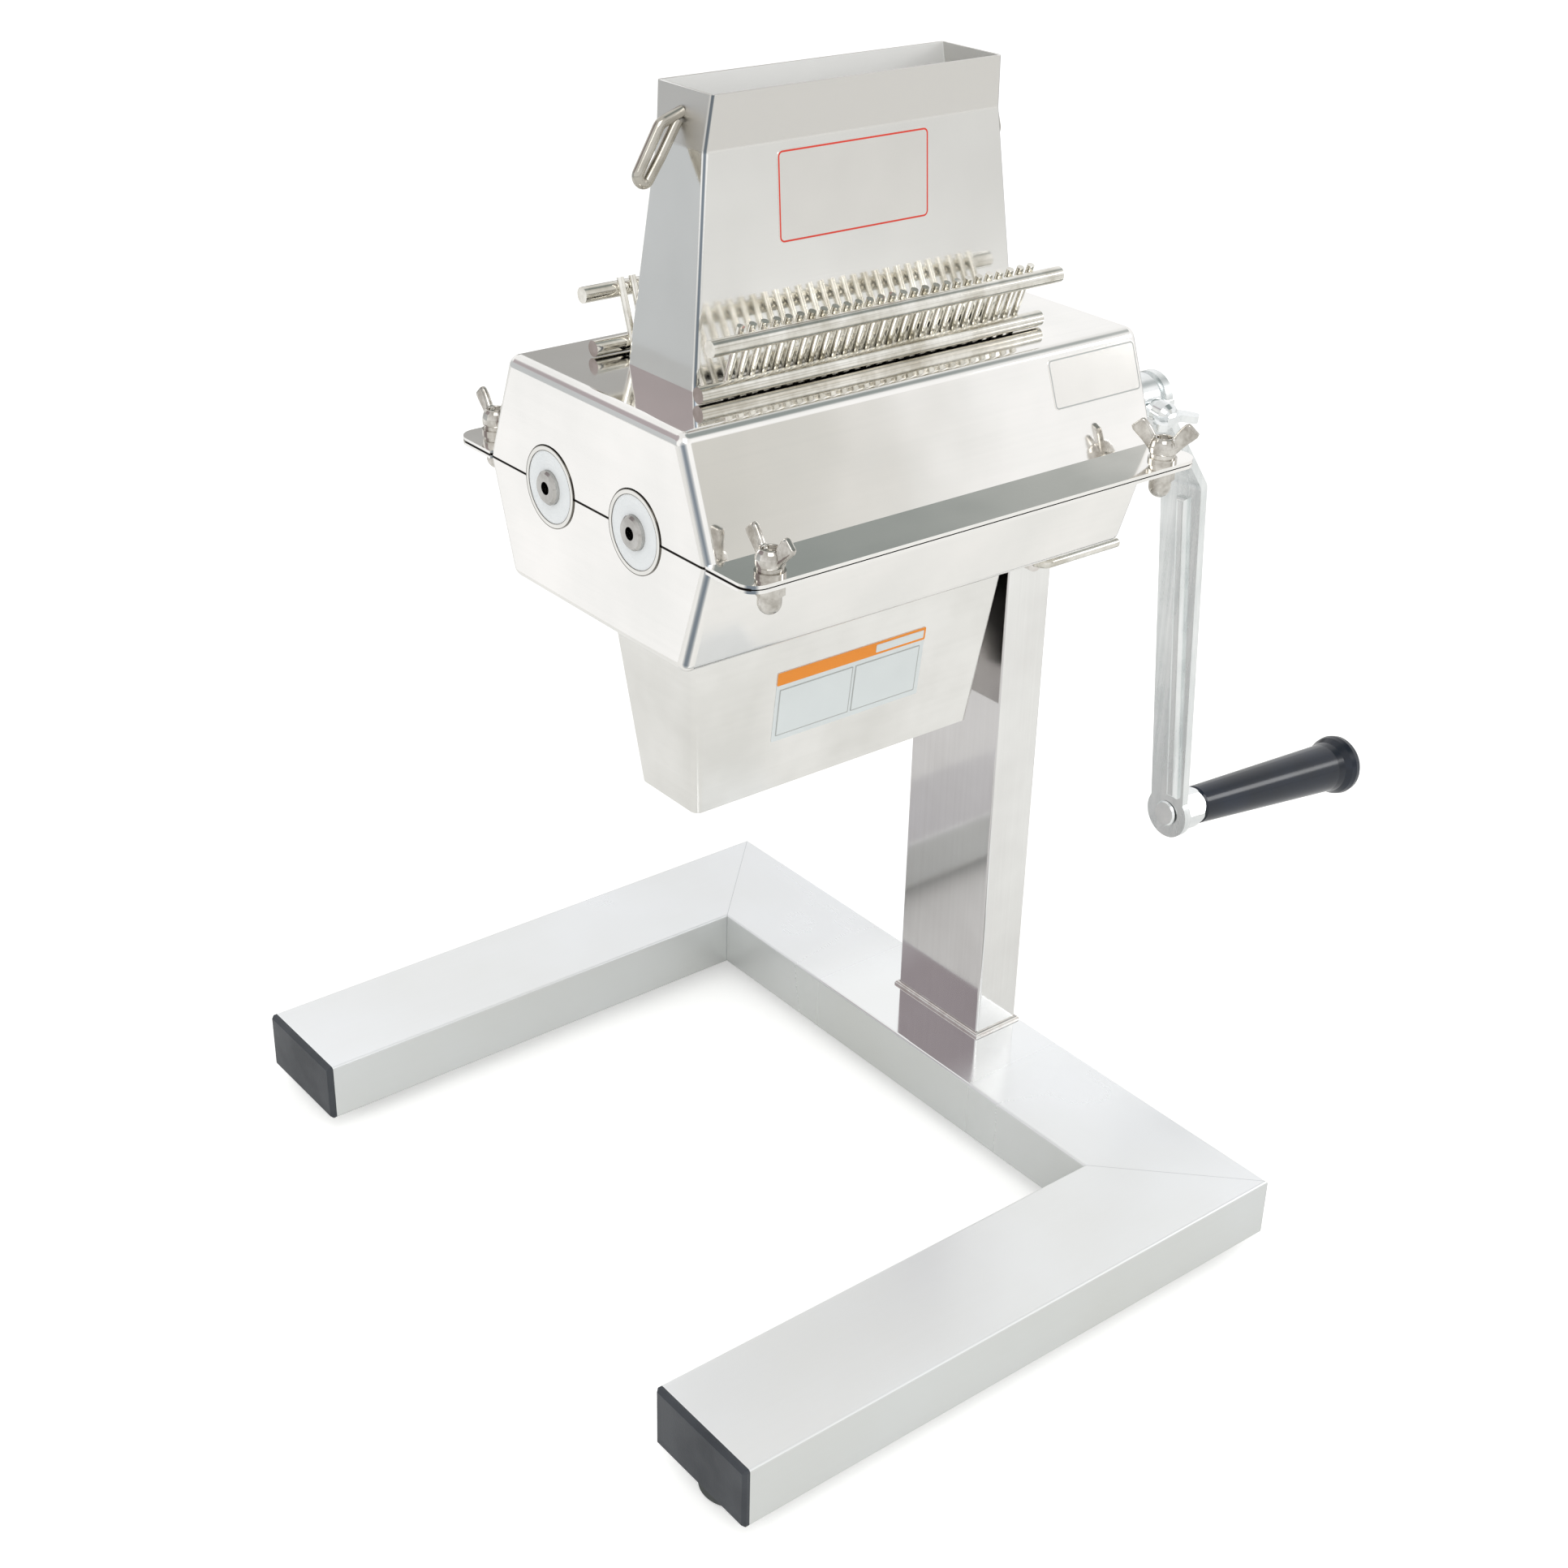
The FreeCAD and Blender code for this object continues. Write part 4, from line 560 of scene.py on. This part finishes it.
def from_roller_axis(tree):
    """Distance from the nearer roller's axis."""
    place = split(tree, "Object")
    side = add(tree, "Math", {0: place["Y"]}, operation="ABSOLUTE")
    out = add(tree, "Math", {0: side.outputs[0], 1: ROLLER_Y}, operation="SUBTRACT")
    rise = add(tree, "Math", {0: place["Z"], 1: ROLLER_Z}, operation="SUBTRACT")
    spot = add(tree, "CombineXYZ", {"X": out.outputs[0], "Y": rise.outputs[0]})
    return add(tree, "VectorMath", {0: spot.outputs[0]}, operation="LENGTH").outputs["Value"]


def turned_rings(tree, radius, depth):
    """The normal of a face with the lathe's rings, this deep in metres, about the axis."""
    turns = add(tree, "Math", {0: radius, 1: 1000 / TURNING_MM * math.tau}, operation="MULTIPLY")
    rings = add(tree, "Math", {0: turns.outputs[0]}, operation="SINE")
    return add(tree, "Bump", {"Height": rings.outputs[0], "Strength": 1.0,
                              "Distance": depth}).outputs["Normal"]


def turned_collar():
    """Turned stainless: bright, with fine rings, and a painted shadow in the seams at its rims."""
    material, tree = new_material("turned_stainless_collar")
    radius = from_roller_axis(tree)
    outer = add(tree, "MapRange", {"Value": radius, "From Min": COLLAR_RADIUS - 0.0004,
                                   "From Max": COLLAR_RADIUS - 0.0002})
    inner = add(tree, "MapRange", {"Value": radius, "From Min": BUSH_RADIUS + 0.0001,
                                   "From Max": BUSH_RADIUS + 0.0003, "To Min": 1.0, "To Max": 0.0})
    seam = add(tree, "Math", {0: outer.outputs["Result"], 1: inner.outputs["Result"]},
               operation="MAXIMUM")
    cloud = add(tree, "TexNoise", {"Vector": stretched(tree, (1 / 14,) * 3), "Scale": 1.0,
                                   "Detail": 3.0})
    metal = add(tree, "Mix", {"Factor": cloud.outputs["Fac"], "A": linear(COLLAR_DARK),
                              "B": linear(COLLAR_LIGHT)}, data_type="RGBA")
    tint = add(tree, "Mix", {"Factor": seam.outputs[0], "A": metal.outputs["Result"],
                             "B": linear(COLLAR_SEAM_SHADOW)}, data_type="RGBA")
    shader = add(tree, "BsdfPrincipled", {
        "Base Color": tint.outputs["Result"], "Metallic": 1.0, "Roughness": 0.16,
        "Normal": turned_rings(tree, radius, COLLAR_RING_DEPTH)})
    close_material(tree, shader)
    return material


finish(turned_collar(), *[f"bearing_collar_{place}" for place in BEARINGS])


def turned_nylon():
    """Cast nylon: bluish white and waxy, with the lathe's rings about the roller's axis."""
    material, tree = new_material("faced_cast_nylon")
    cloud = add(tree, "TexNoise", {"Vector": stretched(tree, (0.15,) * 3), "Scale": 1.0,
                                   "Detail": 3.0})
    tint = add(tree, "Mix", {"Factor": cloud.outputs["Fac"], "A": linear(NYLON_DARK),
                             "B": linear(NYLON_LIGHT)}, data_type="RGBA")
    shader = add(tree, "BsdfPrincipled", {
        "Base Color": tint.outputs["Result"], "Roughness": 0.38, "IOR": 1.53,
        "Subsurface Weight": 0.15, "Subsurface Radius": (0.002, 0.002, 0.002),
        "Normal": turned_rings(tree, from_roller_axis(tree), BUSH_RING_DEPTH)})
    close_material(tree, shader)
    return material


finish(turned_nylon(), *[f"bearing_bush_{place}" for place in BEARINGS])


# ---------------------------------------------------------------- rollers
# Hardened stainless discs with milled notches, threaded on a turned shaft between moulded
# nylon spacers, and a milled gear at the crank end of each.

finish(steel("turned_stainless_shaft", "#CFCECB", "#AFADA9", 0.10, 0.18,
             grain=(1.2, 0.5, 0.5), patch_mm=12), "front_shaft", "rear_shaft")
finish(steel("ground_blade_steel", "#D9DADB", "#B4B6B8", 0.14, 0.3,
             grain=(0.5, 0.9, 0.9), patch_mm=9), "front_blades", "rear_blades")
finish(steel("milled_gear_steel", "#CFCDC8", "#A9A6A0", 0.2, 0.36,
             grain=(1.0, 0.4, 0.4), patch_mm=9), "front_gear", "rear_gear")
finish(moulded("white_moulded_nylon", "#E6E4DD", "#D6D3CA", 0.45, 1.2, 0.00003),
       "front_spacers", "rear_spacers", "front_sleeve", "rear_sleeve")


# ---------------------------------------------------------------- combs
# Two rods with 27 cut rods welded across them, then electropolished. They strip the meat
# from the blades, and lift out of their slots for washing.

for side in ("front", "rear"):
    finish(rod_steel, f"{side}_comb_top_rod", f"{side}_comb_lower_rod", f"{side}_comb_fingers")


# ---------------------------------------------------------------- clamp bolts
# M5 bolts with dome nuts hold the housings together at four corners, with a flat and a
# spring washer under each wing nut. The wing nuts are cast, so that hub and wings run into
# each other in soft fillets, and all of it is nickel plated.

finish(nickel, "dome_nuts", "clamp_bolts", "flat_washers", "spring_washers")

# Profile of the hub and its bore, radius and height in mm.
NUT_HUB = ((2.65, 0.0), (5.0, 0.0), (5.0, 2.6), (4.4, 4.6), (3.5, 5.7), (2.65, 5.8))
HUB_STEPS = 40
# Stations along a wing: reach and height of its middle, its width and its thickness, in mm.
NUT_WING = ((2.9, 1.6, 4.8, 3.2), (4.6, 3.7, 5.0, 2.8), (6.2, 5.8, 5.6, 2.5),
            (7.9, 7.7, 6.2, 2.4), (9.4, 9.2, 6.3, 2.3), (10.2, 10.1, 5.2, 2.1))
# A wing's corner radius, as a share of its thickness.
WING_ROUNDING = 0.42
CAST_VOXEL_MM = 0.28
# How far each nut is turned about its bolt, in degrees.
NUT_TURNS = {"front_left": 90, "front_right": -60, "rear_left": 90, "rear_right": 74}


def cast_wing_nut():
    """Hub and wings joined and smoothed as a casting is, drawn in mm and then scaled."""
    mesh = bmesh.new()
    rings = []
    for radius, height in NUT_HUB:
        angles = [math.tau * step / HUB_STEPS for step in range(HUB_STEPS)]
        rings.append([mesh.verts.new((radius * math.cos(angle), radius * math.sin(angle), height))
                      for angle in angles])
    for low, top in zip(rings, rings[1:] + rings[:1]):
        skinned(mesh, low, top)
    for side in (-1, 1):
        bands = []
        for index, (reach, height, wide, thick) in enumerate(NUT_WING):
            before = NUT_WING[max(index - 1, 0)]
            after = NUT_WING[min(index + 1, len(NUT_WING) - 1)]
            lean = Vector((after[0] - before[0], after[1] - before[1])).normalized()
            across = Vector((lean.y, 0, -lean.x))
            band = []
            for x, y in rounded_outline(wide, thick, thick * WING_ROUNDING, 3):
                spot = Vector((reach, 0, height)) + across * x + Vector((0, y, 0))
                band.append(mesh.verts.new((side * spot.x, spot.y, spot.z)))
            bands.append(band)
        for low, top in zip(bands, bands[1:]):
            skinned(mesh, low, top)
        mesh.faces.new(bands[0])
        mesh.faces.new(bands[-1])
    bmesh.ops.recalc_face_normals(mesh, faces=mesh.faces)
    rough_cast = bpy.data.meshes.new("wing_nut_pattern")
    mesh.to_mesh(rough_cast)
    mesh.free()
    pattern = bpy.data.objects.new("wing_nut_pattern", rough_cast)
    bpy.context.scene.collection.objects.link(pattern)
    blend = pattern.modifiers.new("joined", "REMESH")
    blend.mode = "VOXEL"
    blend.voxel_size = CAST_VOXEL_MM
    ease = pattern.modifiers.new("eased", "SMOOTH")
    ease.factor, ease.iterations = 0.5, 4
    bpy.context.view_layer.update()
    graph = bpy.context.evaluated_depsgraph_get()
    cast = bpy.data.meshes.new_from_object(pattern.evaluated_get(graph))
    bpy.data.objects.remove(pattern)
    cast.transform(Matrix.Scale(0.001, 4))
    cast.shade_smooth()
    cast.materials.clear()
    cast.materials.append(nickel)
    return cast


wing_nut_cast = cast_wing_nut()
for place, turn in NUT_TURNS.items():
    low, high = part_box("wing_nut_" + place)
    nut = bpy.data.objects.new("cast_wing_nut_" + place, wing_nut_cast)
    nut.location = ((low.x + high.x) / 2, (low.y + high.y) / 2, low.z)
    nut.rotation_euler = (0, 0, math.radians(turn))
    bpy.context.scene.collection.objects.link(nut)
    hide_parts("wing_nut_" + place)
    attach(nut, "wing_nut_" + place)


# ---------------------------------------------------------------- crank
# A chromed hub is clamped on the front roller by a thumb screw; a pressed steel arm,
# zinc plated, is welded to it and ends in an eye for the grip's spindle.

# Bright chromium over nickel: a cold mirror.
chrome = steel("bright_chromium_plating", "#F8FAFA", "#E6E9EA", 0.06, 0.16,
               grain=(0.6, 0.6, 0.6), patch_mm=12, wave=0.00003)
finish(chrome, "crank_hub", "thumb_screw", "grip_spindle", "spindle_nut")
# Passivated zinc: dull and blue grey, in soft cloudy patches.
arm_zinc = steel("passivated_zinc_plating", "#F6F8F8", "#DDE1E1", 0.22, 0.30,
                 grain=(0.5, 0.5, 0.015), patch_mm=24, lines_share=0.45)
finish(arm_zinc, "crank_arm")


# ---------------------------------------------------------------- grip
# Turned from black phenolic, a hard shiny plastic, and free to spin on its spindle.

finish(moulded("polished_black_phenolic", "#131F31", "#0C1522", 0.19, 3.0, 0.000004), "crank_grip")


# ---------------------------------------------------------------- stage
# A pale floor under plain soft studio light. Polished metal mirrors a white room with four
# soft darker patches, a white card beside the object and a grey card behind it.


def stage_material(name, code, camera_glow, mirrored_glow):
    """A matt pale surface that also glows a little for the camera and in mirrors, which
    keeps the shadow."""
    material, tree = new_material(name)
    path = add(tree, "LightPath").outputs
    paint = add(tree, "BsdfDiffuse", {"Color": linear(code)})
    mirrored = add(tree, "Math", {0: path["Is Glossy Ray"], 1: path["Is Transmission Ray"]},
                   operation="MAXIMUM")
    mirrored = add(tree, "Math", {0: mirrored.outputs[0], 1: mirrored_glow}, operation="MULTIPLY")
    strength = add(tree, "Math", {0: path["Is Camera Ray"], 1: camera_glow, 2: mirrored.outputs[0]},
                   operation="MULTIPLY_ADD")
    glow = add(tree, "Emission", {"Color": (1, 1, 1, 1), "Strength": strength.outputs[0]})
    close_material(tree, add(tree, "AddShader", {0: paint.outputs[0], 1: glow.outputs[0]}))
    return material


def stage_plane(name, wide, high, place, facing, material):
    """A rectangle whose normal points along facing."""
    mesh = bmesh.new()
    turn = Vector(facing).to_track_quat("Z", "Y").to_matrix()
    corners = [Vector(place) + turn @ Vector((x * wide / 2, y * high / 2, 0))
               for x, y in ((-1, -1), (1, -1), (1, 1), (-1, 1))]
    mesh.faces.new([mesh.verts.new(corner) for corner in corners])
    data = bpy.data.meshes.new(name)
    mesh.to_mesh(data)
    mesh.free()
    data.materials.append(material)
    item = bpy.data.objects.new(name, data)
    bpy.context.scene.collection.objects.link(item)
    return item


FLOOR_SIDE = 14
stage_plane("floor", FLOOR_SIDE, FLOOR_SIDE, (0, 0, 0), (0, 0, 1),
            stage_material("white_paper_floor", "#F4F4F2", 0.42, 0.03))


def mirrored_card(name, wide, high, place, facing, code):
    """A glowing card that only polished metal sees."""
    material, tree = new_material(name + "_paper")
    close_material(tree, add(tree, "Emission", {"Color": linear(code), "Strength": 1.0}))
    card = stage_plane(name, wide, high, place, facing, material)
    card.visible_camera = card.visible_diffuse = card.visible_shadow = False


mirrored_card("white_card", 0.42, 0.62, (-0.47, 0.50, 0.10), (0, 0, 1), "#FFFFFF")
mirrored_card("grey_card", 1.7, 0.7, (-1.0, 1.27, 0.35), (0.61, -0.79, 0), "#C8CBCD")

world = bpy.data.worlds.new("white_room")
bpy.context.scene.world = world
world.use_nodes = True
room = world.node_tree
room.nodes.clear()
way = add(room, "TexCoord").outputs["Generated"]

# The ceiling starts at one height of the view and is full at the other.
CEILING_FROM, CEILING_TO, CEILING_TINT = 0.45, 0.85, "#EEEEED"
# Each darker patch: its direction, the angle to which it is even and the angle at which it
# ends, both in degrees, and its colour.
DARKER_PATCHES = (((0.42, -0.15, 0.895), 13, 28, "#969D9C"),
                  ((0.49, 0.845, 0.22), 7, 13, "#AEADAB"),
                  ((-0.60, 0.63, 0.50), 15, 26, "#B3AAAD"),
                  ((0.48, -0.85, 0.24), 5, 14, "#D4D3CE"))
ROOM_LIGHT = 0.79

upward = add(room, "MapRange", {"Value": add(room, "SeparateXYZ", {"Vector": way}).outputs["Z"],
                                "From Min": CEILING_FROM, "From Max": CEILING_TO},
             interpolation_type="SMOOTHSTEP")
walls = add(room, "Mix", {"Factor": upward.outputs["Result"], "A": (1, 1, 1, 1),
                          "B": linear(CEILING_TINT)}, data_type="RGBA").outputs["Result"]
for toward, inner, outer, code in DARKER_PATCHES:
    cosine = add(room, "VectorMath", {0: way, 1: Vector(toward).normalized()},
                 operation="DOT_PRODUCT")
    patch = add(room, "MapRange", {"Value": cosine.outputs["Value"],
                                   "From Min": math.cos(math.radians(outer)),
                                   "From Max": math.cos(math.radians(inner))},
                interpolation_type="SMOOTHSTEP")
    walls = add(room, "Mix", {"Factor": patch.outputs["Result"], "A": walls, "B": linear(code)},
                data_type="RGBA").outputs["Result"]
path = add(room, "LightPath").outputs
shown = add(room, "Mix", {"Factor": path["Is Camera Ray"], "A": walls, "B": (1, 1, 1, 1)},
            data_type="RGBA")
plain_light = add(room, "Background", {"Color": (1, 1, 1, 1), "Strength": ROOM_LIGHT})
mirrored_room = add(room, "Background", {"Color": shown.outputs["Result"], "Strength": 1.0})
looking = add(room, "Math", {0: path["Is Camera Ray"], 1: path["Is Glossy Ray"]},
              operation="MAXIMUM")
looking = add(room, "Math", {0: looking.outputs[0], 1: path["Is Transmission Ray"]},
              operation="MAXIMUM")
mixed = add(room, "MixShader", {0: looking.outputs[0], 1: plain_light.outputs[0],
                                2: mirrored_room.outputs[0]})
add(room, "OutputWorld", {"Surface": mixed.outputs[0]})

LIGHTS_LOOK_AT = Vector((0, 0, 0.2))


def softbox(name, place, side, power):
    """A square lamp that looks at the middle of the object."""
    data = bpy.data.lights.new(name, "AREA")
    data.shape = "RECTANGLE"
    data.size = data.size_y = side
    data.energy = power
    lamp = bpy.data.objects.new(name, data)
    lamp.location = place
    lamp.rotation_mode = "QUATERNION"
    lamp.rotation_quaternion = (Vector(place) - LIGHTS_LOOK_AT).to_track_quat("Z", "Y")
    bpy.context.scene.collection.objects.link(lamp)


softbox("key_softbox", (-1.1, -1.3, 2.1), 1.4, 14)
softbox("strip_softbox", (1.58, -1.15, 1.0), 0.5, 3.6)


# ---------------------------------------------------------------- camera
# A long lens looking down on the front left corner, level but for a slight roll.

CAMERA_PLACE = (STAND_MIDDLE_X - 0.46684, -0.59889, 0.58276)
CAMERA_AZIMUTH, CAMERA_ELEVATION, CAMERA_ROLL = (
    math.radians(angle) for angle in (-38.87, 28.20, 1.33))
FOCAL_PIXELS, FRAME_PIXELS = 2832.21, 1932

camera_data = bpy.data.cameras.new("camera")
camera_data.sensor_width = 36
camera_data.lens = 36 * FOCAL_PIXELS / FRAME_PIXELS
camera_data.clip_start, camera_data.clip_end = 0.02, 30
camera = bpy.data.objects.new("camera", camera_data)
bpy.context.scene.collection.objects.link(camera)
backward = Vector((math.sin(CAMERA_AZIMUTH) * math.cos(CAMERA_ELEVATION),
                   -math.cos(CAMERA_AZIMUTH) * math.cos(CAMERA_ELEVATION),
                   math.sin(CAMERA_ELEVATION)))
rightward = Vector((math.cos(CAMERA_AZIMUTH), math.sin(CAMERA_AZIMUTH), 0))
axes = Matrix((rightward, backward.cross(rightward), backward)).transposed()
camera.matrix_world = (Matrix.Translation(CAMERA_PLACE) @ axes.to_4x4()
                       @ Matrix.Rotation(CAMERA_ROLL, 4, "Z"))
bpy.context.scene.camera = camera

bpy.context.scene.view_settings.view_transform = "Standard"
